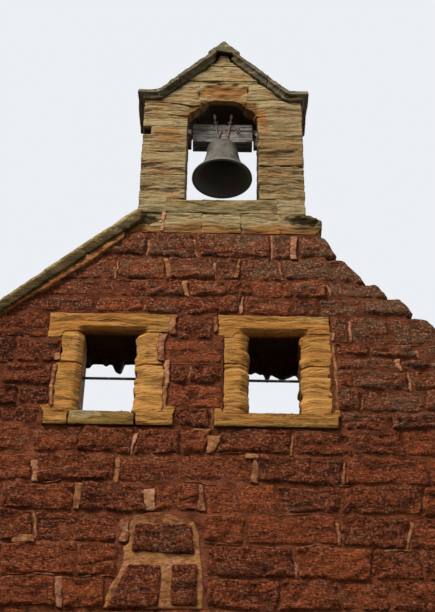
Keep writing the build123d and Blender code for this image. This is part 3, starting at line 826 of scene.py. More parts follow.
def end_stone_tree(g, geometry, material):
    """Ends a geometry tree: smooth faces, real geometry and the piece's finish."""
    smooth = g.node("GeometryNodeSetShadeSmooth", {"Geometry": geometry, "Shade Smooth": True})
    real = g.node("GeometryNodeRealizeInstances", {"Geometry": smooth})
    painted = g.node("GeometryNodeSetMaterial", {"Geometry": real, "Material": material})
    end_group(g, Geometry=painted)


def worn_tree():
    """Rounds a remeshed stone's edges and cuts furrows along its beds."""
    tree, g, given = new_group("Worn stone", "GeometryNodeTree",
                               [SHAPE, ("Rounds", "Int", 3), ("Furrow", "Float", 0.02),
                                ("Beds", "Float", 30.0), ("Lumps", "Float", 0.01), FINISH], [SHAPE])
    place = g.node("GeometryNodeInputPosition")
    soft = g.node("GeometryNodeBlurAttribute", {"Value": place, "Iterations": given["Rounds"]},
                  data_type="FLOAT_VECTOR")
    shape = g.node("GeometryNodeSetPosition", {"Geometry": given["Geometry"], "Position": soft})
    number = g.split(g.read("finish"))[2]
    depth = g.read("depth", "FLOAT")
    spot = g.node("GeometryNodeInputPosition") + g.xyz(number * 2.3, number * 1.1, number * 0.31)
    warp = g.noise(spot, 2.6, 2.0, out=1, seed=number)
    bent = spot + (warp - 0.5) * g.xyz(0.0, 0.0, 0.12)
    cut = g.noise(bent * g.xyz(2.4, 2.4, given["Beds"] * 0.5), 1.0, 3.0, 0.55, seed=number + 9.0)
    fine = g.noise(bent * g.xyz(5.0, 5.0, given["Beds"]), 1.0, 3.0, 0.5, seed=number + 2.0)
    furrow = g.ramp(cut, 0.53, 0.33) * 0.75 + g.ramp(fine, 0.52, 0.36) * 0.35
    lump = g.noise(spot * g.xyz(5.0, 5.0, 7.0), 1.0, 3.0, 0.5, seed=number + 4.0)
    normal = g.node("GeometryNodeInputNormal")
    inward = furrow * given["Furrow"] * depth + g.ramp(lump, 0.65, 0.25) * given["Lumps"]
    inward = inward + g.read("spall", "FLOAT")
    moved = g.node("GeometryNodeSetPosition", {"Geometry": shape, "Offset": normal * (inward * -1.0)})
    # The deeper a furrow cuts, the darker its painted shade.
    end_stone_tree(g, g.keep(moved, "hollow", g.ramp(furrow * depth, 0.45, 1.0)), given["Material"])
    return tree


def remeshed(part, voxel, stretch):
    """A solid's mesh in small facets, finer from bed to bed than along them."""
    for vert in part.verts:
        vert.co.z *= stretch
    mesh = bpy.data.meshes.new("rough")
    part.to_mesh(mesh)
    part.free()
    obj = new_object("rough", mesh)
    modifier = obj.modifiers.new("Facets", "REMESH")
    modifier.mode = "VOXEL"
    modifier.voxel_size = voxel
    plain(obj)
    mesh = obj.data
    bpy.data.objects.remove(obj)
    points = np.empty(len(mesh.vertices) * 3, np.float32)
    mesh.vertices.foreach_get("co", points)
    points = points.reshape(-1, 3)
    points[:, 2] /= stretch
    quads = np.array([p.vertices[:] for p in mesh.polygons], int)
    bpy.data.meshes.remove(mesh)
    return points, quads


def worn_piece(name, parts, material, slot, nodes, draw, voxel, stretch=1.8, rounds=3, furrow=0.02,
               beds=30.0, lumps=0.01, tones=(0.2, 0.8), touch=None):
    """Several stones as one piece. touch is a function that may set fresh faces, painted shade and stains,
    and lost skin by place, or move a point."""
    all_points, all_quads, finishes = [], [], []
    count = 0
    for part in parts:
        points, quads = remeshed(part, voxel, stretch)
        all_points.append(points)
        all_quads.append(quads + count)
        count += len(points)
        finish = (draw.uniform(*tones), 0.0, draw.uniform(0, 9))
        finishes.append(np.tile(finish, (len(points), 1)))
    points = np.concatenate(all_points)
    quads = np.concatenate(all_quads)
    # One of these shares darkens a point: painted shade under things, in recesses and in openings, with a
    # little real staining.
    fields = {"fresh": np.zeros(count), "stain": np.zeros(count), "spall": np.zeros(count),
              "depth": np.ones(count), "margin": np.ones(count), "lichen": np.zeros(count)}
    finish = np.concatenate(finishes)
    if touch:
        touch(points, fields, finish)
    mesh = bpy.data.meshes.new(name)
    mesh.from_pydata(points.tolist(), [], quads.tolist())
    store(mesh, "finish", "FLOAT_VECTOR", finish)
    for label, values in fields.items():
        store(mesh, label, "FLOAT", values)
    obj = new_object(name, mesh)
    with_nodes(obj, GROUPS["worn_stone"], Rounds=rounds, Furrow=furrow, Beds=beds, Lumps=lumps,
               Material=material)
    for label in ("depth", "spall"):
        obj.data.attributes.remove(obj.data.attributes[label])
    return settle(obj, slot, *nodes)


def core_piece(name, nodes, material, slot, voxel, inset, bridge=0.006):
    """What lies behind the joints of some pieces: their solids grown together, then drawn in."""
    whole = bmesh.new()
    for node in nodes:
        for part in stone_parts(node):
            places = [v.co for v in part.verts]
            for axis in (X_AXIS, Y_AXIS, Z_AXIS):
                low, high = min(co[axis] for co in places), max(co[axis] for co in places)
                middle, half = (low + high) / 2, (high - low) / 2
                for co in places:
                    co[axis] = middle + (co[axis] - middle) * (half + bridge) / half
            add_part(whole, part)
    points, quads = remeshed(whole, voxel, 1.0)
    mesh = bpy.data.meshes.new(name)
    mesh.from_pydata(points.tolist(), [], quads.tolist())
    mesh.materials.append(material)
    obj = new_object(name, mesh)
    modifier = obj.modifiers.new("Draw in", "DISPLACE")
    modifier.mid_level = 0.0
    modifier.strength = -inset - bridge
    return settle(plain(obj), slot)


# Rubble: stones laid course by course


def stones_tree():
    """Sets a rounded, rough block on each point, as long, high and deep as the point says."""
    tree, g, given = new_group("Rubble stones", "GeometryNodeTree",
                               [SHAPE, ("Block", "Object", None), ("Rounding", "Float", 0.03),
                                ("Roughness", "Float", 0.03), ("Wander", "Float", 0.012),
                                ("Bow", "Float", 0.0), ("Tilt", "Float", 0.04), ("Seed", "Float", 0.0),
                                FINISH], [SHAPE])
    block = g.node("GeometryNodeObjectInfo", {"Object": given["Block"]}, out=4)
    block = g.keep(block, "unit", g.node("GeometryNodeInputPosition"), "FLOAT_VECTOR")
    laid = g.node("GeometryNodeInstanceOnPoints", {"Points": given["Geometry"], "Instance": block})
    laid = g.node("GeometryNodeRealizeInstances", {"Geometry": laid})

    # A block on each point takes the stone's size, rounded edges and place.
    labels = ("unit", "foot", "head", "along", "start", "finish")
    unit, foot, head, along, start, finish = map(g.read, labels)
    foot_low, foot_high, low = g.split(foot)
    head_low, head_high, high = g.split(head)
    face, back, _ = g.split(g.read("reach"))
    number = g.split(finish)[2]
    size = g.xyz((foot_high - foot_low + head_high - head_low) * 0.5, back - face, high - low)
    double = unit * 2.0
    square = double * double
    eased = double * (g.xyz(1.4, 1.4, 1.4) - square * 0.4)
    half = size * 0.5
    corner = g.combine("MINIMUM", half * 0.8, given["Rounding"] * g.xyz(1.0, 1.0, 1.0))
    reach = eased * half
    core_size = half - corner
    core = g.combine("MAXIMUM", g.combine("MINIMUM", reach, core_size), core_size * -1.0)
    over = (reach - core) / corner
    far = g.node("ShaderNodeVectorMath", {0: over}, out=1, operation="LENGTH")
    rounded = core + over * corner / g.combine("MAXIMUM", far, 1.0)
    x, y, z = g.split(rounded / half)
    rise = z * 0.5 + 0.5
    middle = (foot_low + foot_high) * 0.5 * (1.0 - rise) + (head_low + head_high) * 0.5 * rise
    spread = (foot_high - foot_low) * 0.5 * (1.0 - rise) + (head_high - head_low) * 0.5 * rise
    inward = g.combine("CROSS_PRODUCT", (0.0, 0.0, 1.0), along)
    depth = face + (y * 0.5 + 0.5) * (back - face)
    sway = g.combine("SINE", number * 7.0) * given["Bow"] * (1.0 - z * z)
    tilt = g.combine("SINE", number * 11.0) * given["Tilt"] * spread * x
    lift = g.xyz(0.0, 0.0, low + rise * (high - low) + tilt * g.ramp(low, 0.05, 0.3))
    spot = start + along * (middle + spread * x + sway) + inward * depth + lift
    inset_x, _, inset_z = g.split(half - g.combine("ABSOLUTE", reach))
    placed = g.node("GeometryNodeSetPosition", {"Geometry": laid, "Position": spot})

    # Then it is weathered where it lies, and painted shade goes into what the weather ate.
    world = g.node("GeometryNodeInputPosition")
    here = world + g.xyz(number, number * 3.0, number * 2.0)
    seed = given["Seed"]
    fade = g.ramp(g.split(world)[2], 0.02, 0.5) * g.ramp(g.split(world)[2], HEAD_Z, HEAD_Z - 0.3)
    bend = g.noise(world * g.xyz(2.2, 2.2, 2.2), 1.0, 1.0, 0.5, out=1, seed=seed + 7.0) - 0.5
    chip = g.noise(here * g.xyz(9.0, 9.0, 12.0), 1.0, 3.0, 0.6, out=1, seed=seed + 8.0) - 0.5
    drift = (bend * g.xyz(1.0, 0.0, 2.2) * 3.0 + chip * g.xyz(3.4, 0.8, 2.8)) * given["Wander"] * fade
    broad = g.noise(here * g.xyz(4.2, 4.2, 8.0), 1.0, 2.0, 0.5, out=1, seed=seed) - 0.5
    beds = g.noise(here * g.xyz(7.0, 7.0, 24.0), 1.0, 3.0, 0.6, seed=seed + 3.0)
    crag = g.noise(here * g.xyz(14.0, 14.0, 19.0), 1.0, 3.0, 0.6, seed=seed + 11.0)
    scoop = g.ramp(g.noise(here * g.xyz(4.0, 4.0, 8.0), 1.0, 2.0, 0.5, seed=seed + 5.0), 0.52, 0.72)
    front = g.ramp(g.split(unit)[1], -0.1, -0.5)
    eaten = scoop * 0.5 + g.ramp(beds, 0.55, 0.38) * 0.25 + g.ramp(crag, 0.6, 0.36) * 0.5
    push = inward * (front * g.combine("MINIMUM", eaten * given["Roughness"], 0.004 - face))
    shake = broad * g.xyz(0.4, 0.8, 0.3) * given["Roughness"]
    shaken = g.node("GeometryNodeSetPosition", {"Geometry": placed, "Offset": shake + push + drift})
    # Painted shade where the face is eaten away.
    dark = front * (g.ramp(scoop, 0.35, 1.0) * 0.35 + g.ramp(crag, 0.44, 0.34) * 0.35)
    shaken = g.keep(shaken, "hollow", dark)
    shaken = g.keep(shaken, "margin", g.combine("MINIMUM", inset_x, inset_z))
    end_stone_tree(g, shaken, given["Material"])
    return tree


def block_shape(name, columns, rows):
    """A block one unit each way: a grid in front, two rings of faces round the sides and one behind."""
    shape = bmesh.new()
    grid = [[shape.verts.new((c / columns - 0.5, -0.5, r / rows - 0.5)) for c in range(columns + 1)]
            for r in range(rows + 1)]
    for r in range(rows):
        for c in range(columns):
            shape.faces.new((grid[r][c], grid[r][c + 1], grid[r + 1][c + 1], grid[r + 1][c]))
    for depth in (0.2, 0.8):
        rim = [e for e in shape.edges if len(e.link_faces) == 1]
        for made in bmesh.ops.extrude_edge_only(shape, edges=rim)["geom"]:
            if isinstance(made, bmesh.types.BMVert):
                made.co.y += depth
    bmesh.ops.holes_fill(shape, edges=[e for e in shape.edges if len(e.link_faces) == 1])
    bmesh.ops.recalc_face_normals(shape, faces=shape.faces)
    mesh = bpy.data.meshes.new(name)
    shape.to_mesh(mesh)
    shape.free()
    return new_object(name, mesh)


# A wall's face: where its measure starts, and which way it runs for someone who looks at the face.
FACES = {
    "front": ((0.0, FRONT_Y, 0.0), (1.0, 0.0, 0.0)),
    "rear": ((0.0, REAR_Y, 0.0), (-1.0, 0.0, 0.0)),
    "left": ((-CORNER_X, 0.0, 0.0), (0.0, -1.0, 0.0)),
    "right": ((CORNER_X, 0.0, 0.0), (0.0, 1.0, 0.0)),
    "left_inside": ((-RETURN_INNER_X, 0.0, 0.0), (0.0, 1.0, 0.0)),
    "right_inside": ((RETURN_INNER_X, 0.0, 0.0), (0.0, -1.0, 0.0)),
}
# How far a stone is turned out of level, at most, as a slope. Strips of mortar, which bow, aren't.
STONE_TILT = 0.035
# How far an upright joint may lean, each way.
JOINT_LEAN = 0.02
# How far a joint stays from the ends of its course.
END_CLEARANCE = 0.08


class Masonry:
    """Stones laid so far, each in the group that it is made with."""

    def __init__(self, settings):
        self.settings = settings
        self.draw = random.Random(SEED)
        self.stones = []

    def stone(self, face, foot, head, low, high, group, depth=WYTHE - 0.01, tone=None, kind=0.0,
              proud=None):
        """One stone: its foot and its head as pairs along the wall, its lower and upper height. tone says
        how light it is and kind how grey."""
        draw = self.draw
        bed = self.settings.bed * 0.5
        if proud is None:
            proud = self.settings.proud * draw.uniform(0.15, 1.0)
        if tone is None:
            tone = draw.uniform(0.1, 0.9)
        start, along = FACES[face]
        self.stones.append({
            "group": group, "along": along, "start": start,
            "foot": (*foot, low + bed), "head": (*head, high - bed), "reach": (-proud, depth, 0.0),
            "finish": (tone, kind, draw.uniform(0.0, 9.0)),
        })

    def pointing(self, foot, head, low, high, tone=0.9):
        """A strip of pale mortar in the front that still stands nearly flush with the stones."""
        draw = self.draw
        smear = min(foot[1] - foot[0], high - low) > 0.032
        proud = draw.uniform(0.012, 0.018) if smear else draw.uniform(0.0, 0.007)
        self.stone("front", foot, head, low, high, "pointing", 0.05, tone=tone * draw.uniform(0.7, 1.05),
                   kind=draw.random() * 0.8, proud=proud)

    def joint(self, place, width, low, high):
        """Where the stones beside an upright joint end, at its foot and at its head. A joint with a width
        is filled with a strip of pale mortar."""
        draw = self.draw
        lean = draw.uniform(-JOINT_LEAN, JOINT_LEAN)
        foot, head = place - lean, place + lean
        half = self.settings.joint / 2
        if width:
            half = width * 0.36
            taper = draw.uniform(-0.3, 0.3) * width
            self.pointing((foot - width / 2 - taper, foot + width / 2 + taper),
                          (head - width / 2 + taper, head + width / 2 - taper),
                          low - 0.004, high - draw.uniform(0.0, 0.3) * (high - low))
        return foot - half, foot + half, head - half, head + half

    def course(self, face, low, high, left, right, joints=(), group="plain", sizes=(0.26, 0.62),
               greyness=None, known=False, last_group=None):
        """A course between two ends. left and right give the ends at the course's foot and its head. Where
        the course runs on past the joints that are named, the rest are drawn, unless all are known."""
        named = {}
        for joint in joints:
            place, width = joint if isinstance(joint, tuple) else (joint, 0.0)
            if max(left) + END_CLEARANCE < place < min(right) - END_CLEARANCE:
                named[place] = width
        places = sorted(named)
        if not known:
            places = self.more_joints(places, max(left), min(right), sizes)
        half = self.settings.joint / 2
        cuts = [(left[0], left[0] + half, left[1], left[1] + half)]
        cuts += [self.joint(place, named.get(place, 0.0), low, high) for place in places]
        cuts.append((right[0] - half, right[0], right[1] - half, right[1]))
        groups = [group] * (len(cuts) - 2) + [last_group or group]
        for first, second, its_group in zip(cuts, cuts[1:], groups):
            kind = greyness((first[0] + second[1]) / 2, (low + high) / 2) if greyness else 0.0
            lift, drop = self.draw.uniform(-0.007, 0.005), self.draw.uniform(-0.007, 0.006)
            self.stone(face, (first[1], second[0]), (first[3], second[2]), max(low + lift, 0.0),
                       high - drop, its_group, kind=kind)

    def more_joints(self, places, left, right, sizes):
        """Draws joints out to both ends of a course."""
        draw = self.draw
        places = list(places)
        if not places:
            places = [left + draw.uniform(*sizes)]
            if places[0] > right - sizes[0]:
                return []
        while right - places[-1] > sizes[1] * 1.15:
            places.append(places[-1] + draw.uniform(*sizes))
        while places[0] - left > sizes[1] * 1.15:
            places.insert(0, places[0] - draw.uniform(*sizes))
        return [p for p in places if left + 0.1 < p < right - 0.1]

    def piece(self, name, group, block, tree, material, roughness=1.0, rounding=1.0, wander=0.012,
              bow=0.0):
        """All the stones of a group, as one piece of the gable."""
        settings = self.settings
        chosen = [s for s in self.stones if s["group"] == group]
        mesh = bpy.data.meshes.new(name)
        mesh.from_pydata([(0.0, 0.0, 0.0)] * len(chosen), [], [])
        for label in ("foot", "head", "along", "start", "reach", "finish"):
            store(mesh, label, "FLOAT_VECTOR", [s[label] for s in chosen])
        obj = new_object(name, mesh)
        with_nodes(obj, tree, Block=block, Seed=float(SEED), Material=material, Wander=wander, Bow=bow,
                   Tilt=0.0 if bow else STONE_TILT, Rounding=settings.rounding * rounding,
                   Roughness=settings.roughness * roughness)
        for label in ("unit", "foot", "head", "along", "start", "reach"):
            attribute = obj.data.attributes.get(label)
            if attribute:
                obj.data.attributes.remove(attribute)
        return settle(obj, "red_rubble")


def bed_x(z):
    """How far out the gable's sloping top lies at a height."""
    return HEAD_X + (HEAD_Z - z) / SLOPE


def left_end(z):
    """The left end of the wall's face at a height: corner, skewputt or slope."""
    if SKEWPUTT_LOW.z - 0.02 < z < SKEWPUTT_HIGH.z - 0.04:
        return SKEWPUTT_INNER_X
    return max(-bed_x(z), -CORNER_X)


def right_end(z):
    """The right end of the wall's face at a height, on the slope that lost its coping."""
    return min(bed_x(z) - LOST_EDGE + TREAD / 2, CORNER_X)


def slope_foot(z):
    """How far the foot of a course reaches on the broken slope."""
    return min(bed_x(z) - LOST_EDGE, CORNER_X)


def slope_head(z):
    """How far the head of a course reaches on the broken slope."""
    return min(bed_x(z) - LOST_EDGE + TREAD, CORNER_X) if z < HEAD_Z - 0.01 else HEAD_X


def exposure(x, z):
    """How grey the weather has made a stone: most at the broken slope, some at the wall head."""
    near = max(0.0, 1 - (right_end(z) - x) / 0.95) * (x > 0.3)
    high = min(1.0, max(0.0, (z - 6.7) / 0.8))
    beside = -0.4 if x < -1.25 and z < 6.8 else (0.55 if x > 0.9 else 0.0)
    return min(1.0, near * 0.45 + high * 0.7 + beside)


# Courses of the front, from the top: lower height, upper height, joints. A joint that is filled with pale
# mortar also has its width. Beside the windows a course also says where it meets the lintel, jamb or sill.
HEAD_COURSES = (
    (7.452, 7.698, ((-0.62, 0.03), (-0.213, 0.034), (0.425, 0.026), (0.62, 0.062))),
    (7.212, 7.448, ((-0.855, 0.024), (-0.45, 0.05), (-0.045, 0.03), (0.15, 0.034), (0.51, 0.024))),
    (7.042, 7.208, (-0.98, -0.745, (-0.28, 0.05), 0.05, 0.255, 0.59, (0.87, 0.028))),
    (6.868, 7.038, (-1.02, (-0.62, 0.022), (0.175, 0.026), 0.58, 0.8, 1.14)),
)
LEFT_COURSES = (
    (6.61, 6.86, -1.375, (-1.75,)),
    (6.385, 6.605, -1.27, (-1.62,)),
    (6.19, 6.375, -1.312, (-1.7,)),
    (5.99, 6.18, -1.312, (-1.56,)),
    (5.825, 5.98, -1.375, (-1.68,)),
)
MIDDLE_COURSES = (
    (6.625, 6.86, (-0.345, -0.05), ()),
    (6.385, 6.615, (-0.445, 0.03), ()),
    (6.21, 6.375, (-0.392, 0.03), ((-0.235, 0.02),)),
    (5.99, 6.2, (-0.392, 0.03), ()),
    (5.825, 5.98, (-0.345, -0.065), ()),
)
RIGHT_COURSES = (
    (6.6, 6.86, 0.892, ((1.045, 0.03), 1.37)),
    (6.485, 6.595, 0.905, (1.19, (1.57, 0.03))),
    (6.365, 6.475, 0.905, ((1.42, 0.04), 1.8)),
    (6.19, 6.358, 0.905, ((1.49, 0.03),)),
    (5.99, 6.18, 0.905, ((1.1, 0.02), 1.6)),
    (5.825, 5.98, 0.92, ((1.33, 0.016), 1.7)),
)
LOWER_COURSES = (
    (5.6, 5.812, (-1.42, -1.05, (-0.64, 0.03), -0.29, (-0.04, 0.1), (0.555, 0.03), 1.0, 1.4)),
    (5.36, 5.59, ((-1.37, 0.05), (-0.755, 0.04), -0.31, (0.27, 0.05), (0.94, 0.03), 1.57)),
    (5.125, 5.35, ((-1.03, 0.055), (-0.5, 0.09), (-0.115, 0.045), 0.42, 0.91, 1.5)),
    (4.88, 5.115, ((-1.32, 0.03), -0.08, 0.2, (0.88, 0.036), (1.38, 0.03))),
    (4.63, 4.87, (-1.53, -0.99, (0.56, 0.03), 1.1, 1.46)),
    (4.395, 4.62, ((-1.1, 0.055), 0.02, 0.44, 0.86, 1.22)),
)
# Other places where pale mortar shows: left, right, lower and upper edge, and how clean it is.
PALE_MORTAR = (
    (-0.405, -0.35, 6.66, 6.86, 0.8), (-0.06, -0.024, 6.68, 6.84, 0.8), (-0.432, -0.385, 6.19, 6.42, 1.0),
    (-0.43, -0.39, 5.98, 6.2, 1.0), (-0.49, -0.42, 6.39, 6.45, 0.9), (-1.315, -1.262, 6.39, 6.46, 0.9),
    (-1.32, -1.285, 5.98, 6.36, 0.8),
    (-0.4, -0.35, 5.83, 5.98, 0.8), (-0.06, -0.035, 5.82, 5.98, 0.6), (0.885, 0.915, 5.99, 6.6, 0.8),
    (0.895, 0.925, 6.62, 6.72, 1.0), (-0.92, -0.5, 7.2, 7.214, 0.5), (-0.44, -0.05, 6.374, 6.388, 0.6),
    (-0.19, -0.04, 5.79, 5.825, 0.9), (0.0, 0.26, 5.588, 5.602, 0.5), (-1.3, -1.12, 5.346, 5.362, 0.6),
    (-0.28, -0.03, 5.35, 5.366, 0.7), (0.85, 1.05, 5.347, 5.363, 0.6), (0.32, 0.7, 5.112, 5.126, 0.5),
    (-1.47, -1.3, 4.85, 4.92, 1.0), (-0.1, 0.53, 4.868, 4.88, 0.6), (0.6, 0.86, 4.866, 4.88, 0.6),
    (1.18, 1.4, 4.855, 4.875, 0.7), (-1.5, -1.02, 4.614, 4.63, 0.6), (-0.95, -0.72, 4.616, 4.63, 0.7),
    (0.58, 0.86, 4.616, 4.628, 0.5), (0.98, 1.14, 7.236, 7.26, 0.8), (1.34, 1.7, 6.592, 6.612, 0.8),
    (-1.37, -1.32, 5.35, 5.45, 0.8), (0.2, 0.34, 5.54, 5.585, 0.9), (-0.55, -0.45, 5.12, 5.16, 0.5),
    (-0.705, -0.64, 4.87, 5.07, 0.7), (-0.495, -0.43, 6.42, 6.67, 0.45),
)
# How far the courses on both sides reach to the patch, by the course's lower height.
PATCH_SPANS = {4.88: (-0.715, -0.1), 4.63: (-0.7, -0.075), 4.395: (-0.775, -0.075)}
# The least and the greatest height of a course below those.
UNSEEN_HEIGHTS = (0.2, 0.27)
# A stretch of the rear or a step of the side walls that is smaller than this gets no stones.
SHORTEST_COURSE = 0.12
LOWEST_COURSE = 0.07
# Where the rear's courses beside and over the windows meet.
REAR_WINDOW_COURSES = (5.6, 5.77, 5.945, 6.13, 6.31, 6.5, 6.685, 6.865, 7.04, 7.21, 7.45, 7.7)


def unseen_courses(draw):
    """Heights of the courses under those of the tables, down to the ground."""
    tops = [LOWER_COURSES[-1][0] - 0.008]
    while tops[-1] > UNSEEN_HEIGHTS[1] * 1.5:
        tops.append(tops[-1] - draw.uniform(*UNSEEN_HEIGHTS))
    tops[-1] = 0.0
    return [(low, high) for high, low in zip(tops, tops[1:])]


def lay_front(masonry, lower):
    """The front: courses round the windows, the patch and the broken slope."""
    for low, high, joints in HEAD_COURSES:
        # The two top courses stand out furthest on the broken slope.
        reach = 0.05 * smoothstep(low, 7.1, 7.4)
        masonry.course("front", low, high, (left_end(low), left_end(high)),
                       (slope_foot(low) + reach, slope_head(high) + reach), joints, "fine",
                       greyness=exposure, last_group="slope")
    for low, high, stop, joints in LEFT_COURSES:
        masonry.course("front", low, high, (left_end(low), left_end(high)), (stop, stop), joints,
                       "fine", greyness=exposure)
    for low, high, (left, right), joints in MIDDLE_COURSES:
        masonry.course("front", low, high, (left, left), (right, right), joints, "fine",
                       greyness=exposure, known=True)
    for low, high, start, joints in RIGHT_COURSES:
        masonry.course("front", low, high, (start, start), (slope_foot(low), slope_head(high)), joints,
                       "fine", greyness=exposure, last_group="slope")
    for row, (low, high, joints) in enumerate(LOWER_COURSES + tuple(lower)):
        # Every other course leaves room for a corner stone of the side walls.
        corner = WYTHE if row % 2 else 0.0
        left = (left_end(low) + corner, left_end(high) + corner)
        right = (right_end(low) - corner, right_end(high) - corner)
        spans = [(left, right)]
        if low in PATCH_SPANS:
            near_left, near_right = PATCH_SPANS[low]
            spans = [(left, (near_left, near_left)), ((near_right, near_right), right)]
        group = "fine" if row < len(LOWER_COURSES) else "plain"
        for first, second in spans:
            masonry.course("front", low, high, first, second, joints, group)


# The patch's stones: foot and head along the wall, lower and upper edge, and how grey each is.
PATCH_STONES = (
    ((-0.61, -0.145), (-0.6, -0.185), 4.79, 5.03, 0.1),
    ((-0.765, -0.39), (-0.63, -0.39), 4.39, 4.72, 0.15),
    ((-0.33, -0.128), (-0.325, -0.13), 4.4, 4.725, 0.1),
)
# The mortar round them, along the wall and up.
PATCH_OUTLINE = (
    (-0.785, 4.39), (-0.772, 4.47), (-0.745, 4.555), (-0.69, 4.65), (-0.665, 4.75), (-0.675, 4.85),
    (-0.635, 4.87), (-0.635, 5.03), (-0.6, 5.09), (-0.5, 5.115), (-0.36, 5.12), (-0.25, 5.1),
    (-0.175, 5.06), (-0.125, 4.96), (-0.11, 4.8), (-0.085, 4.6), (-0.085, 4.39),
)


def lay_patch(masonry):
    """Three stones set in a wide bed of buff mortar, and the other places where pale mortar shows."""
    for foot, head, low, high, kind in PATCH_STONES:
        masonry.stone("front", foot, head, low, high, "patch", kind=kind, tone=0.25, proud=0.034)
    for left, right, low, high, tone in PALE_MORTAR:
        masonry.pointing((left, right), (left, right), low, high, tone)


def touch_patch(points, fields, finish):
    """The patch's mortar: pinker in places, with a painted shadow along its upper right edge."""
    x, _, z = points.T
    cloud = 0.5 + 0.5 * np.sin(x * 19 + 1) * np.sin(z * 23) + 0.3 * np.sin(x * 53 - z * 41)
    finish[:, 0] -= 0.35 * cloud + 0.3 * smoothstep(z, 5.0, 5.06)
    finish[:, 0] += 0.4 * smoothstep(z, 4.88, 4.8) * smoothstep(z, 4.66, 4.72)
    finish[:, 1] = 0.5 * smoothstep(cloud, 0.4, 0.9)
    # Painted shadow under the course above, along the patch's upper right edge.
    finish[:, 0] -= 1.6 * smoothstep(z + 0.3 * (x + 0.36), 5.095, 5.115) * smoothstep(x, -0.5, -0.4)


def patch_mortar(material):
    """The buff mortar round the three patch stones, floated flush."""
    shape = slab(PATCH_OUTLINE, FRONT_Y - 0.011, 0.05)
    draw = random.Random(SEED + 5)
    worn_piece("patch_mortar", [shape], material, "red_rubble", [], draw, 0.012, stretch=1.0,
               furrow=0.005, lumps=0.008, rounds=1, tones=(0.97, 1.0), touch=touch_patch)


def lay_rear(masonry, heights):
    """The rear, round the wider backs of the windows."""
    for low, high in heights:
        below_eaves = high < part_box("side_wall_left")[1].z
        end = RETURN_INNER_X if below_eaves else None
        # Seen from behind, the wall's left is the right end.
        left = (-end, -end) if end else (-right_end(low), -right_end(high))
        right = (end, end) if end else (-left_end(low), -left_end(high))
        middle = (low + high) / 2
        spans = [(left, right)]
        if OPENING_LOW_Z < middle < LINTEL_TOP_Z:
            half = REAR_HALF_OPENING if middle < LINTEL_LOW_Z else REAR_HALF_LINTEL
            cuts = sorted((-c - half, -c + half) for c in WINDOWS)
            inner = [left] + [(e, e) for cut in cuts for e in cut] + [right]
            spans = list(zip(inner[::2], inner[1::2]))
        for first, second in spans:
            if min(second) - max(first) > SHORTEST_COURSE:
                masonry.course("rear", low, high, first, second, group="rear")


def return_steps(node):
    """The steps of a broken side wall: how far each reaches and how high it stands."""
    points = {(round(v.co.y, 3), round(v.co.z, 3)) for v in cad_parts[node].data.vertices}
    reaches = sorted({y for y, _ in points if y > REAR_Y + 0.01})
    steps = []
    start = REAR_Y
    for reach in reaches:
        steps.append((start, reach, max(z for y, z in points if y >= reach - 0.001)))
        start = reach
    return steps


def lay_returns(masonry, heights):
    """The stubs of the side walls: an outer and an inner leaf, stepped where they broke off."""
    for side, node in (("left", "side_wall_left"), ("right", "side_wall_right")):
        steps = return_steps(node)
        flip = -1 if side == "left" else 1
        for row, (low, high) in enumerate(heights):
            corner = FRONT_Y if row % 2 else FRONT_Y + WYTHE
            for index, (start, reach, top) in enumerate([(corner, REAR_Y, EAVES_TOP)] + steps):
                head = min(high, top)
                if head - low < LOWEST_COURSE:
                    continue
                for face, turn in ((side, flip), (side + "_inside", -flip)):
                    if index == 0 and face.endswith("inside"):
                        continue
                    left, right = sorted((start * turn, reach * turn))
                    masonry.course(face, low, head, (left, left), (right, right), group="returns")


# How far the mortar lies behind the stones of a broken edge, level and upright.
STEP_DEPTH = 0.03
SLOPE_DEPTH = 0.06


def draw_in_return(co, recess):
    """Moves a corner of a side wall's stub in from the faces and steps that stones cover."""
    co.x = math.copysign(min(max(abs(co.x), RETURN_INNER_X + recess), CORNER_X - recess), co.x)
    if co.y > REAR_Y + 0.01:
        co.y -= STEP_DEPTH
    if co.z > 0.1:
        co.z -= STEP_DEPTH


def draw_in_gable(co, recess):
    """Moves a corner of the gable in from its faces and from the broken slope."""
    if abs(co.y) > REAR_Y - 0.001:
        co.y = math.copysign(abs(co.y) - recess, co.y)
    co.x = max(min(co.x, CORNER_X - recess), -CORNER_X + recess)
    if co.x > right_end(co.z) - TREAD and 5.5 < co.z < HEAD_Z - 0.01:
        co.x -= SLOPE_DEPTH
        co.z -= STEP_DEPTH


def mortar_core(name, nodes, material):
    """The mortar behind the stones: the CAD walls, drawn in a little from the faces that stones cover."""
    whole = bmesh.new()
    recess = bpy.context.scene.bellcote_masonry.recess
    for node in nodes:
        part = cad_copy(node)
        draw_in = draw_in_return if node.startswith("side_wall") else draw_in_gable
        for vert in part.verts:
            draw_in(vert.co, recess)
        add_part(whole, part)
    mesh = bpy.data.meshes.new(name)
    whole.to_mesh(mesh)
    whole.free()
    mesh.materials.append(material)
    return settle(new_object(name, mesh), "red_rubble", *nodes)


# Operators


class BellcoteOperator:
    """What the operators share."""
    bl_options = {"REGISTER", "UNDO"}


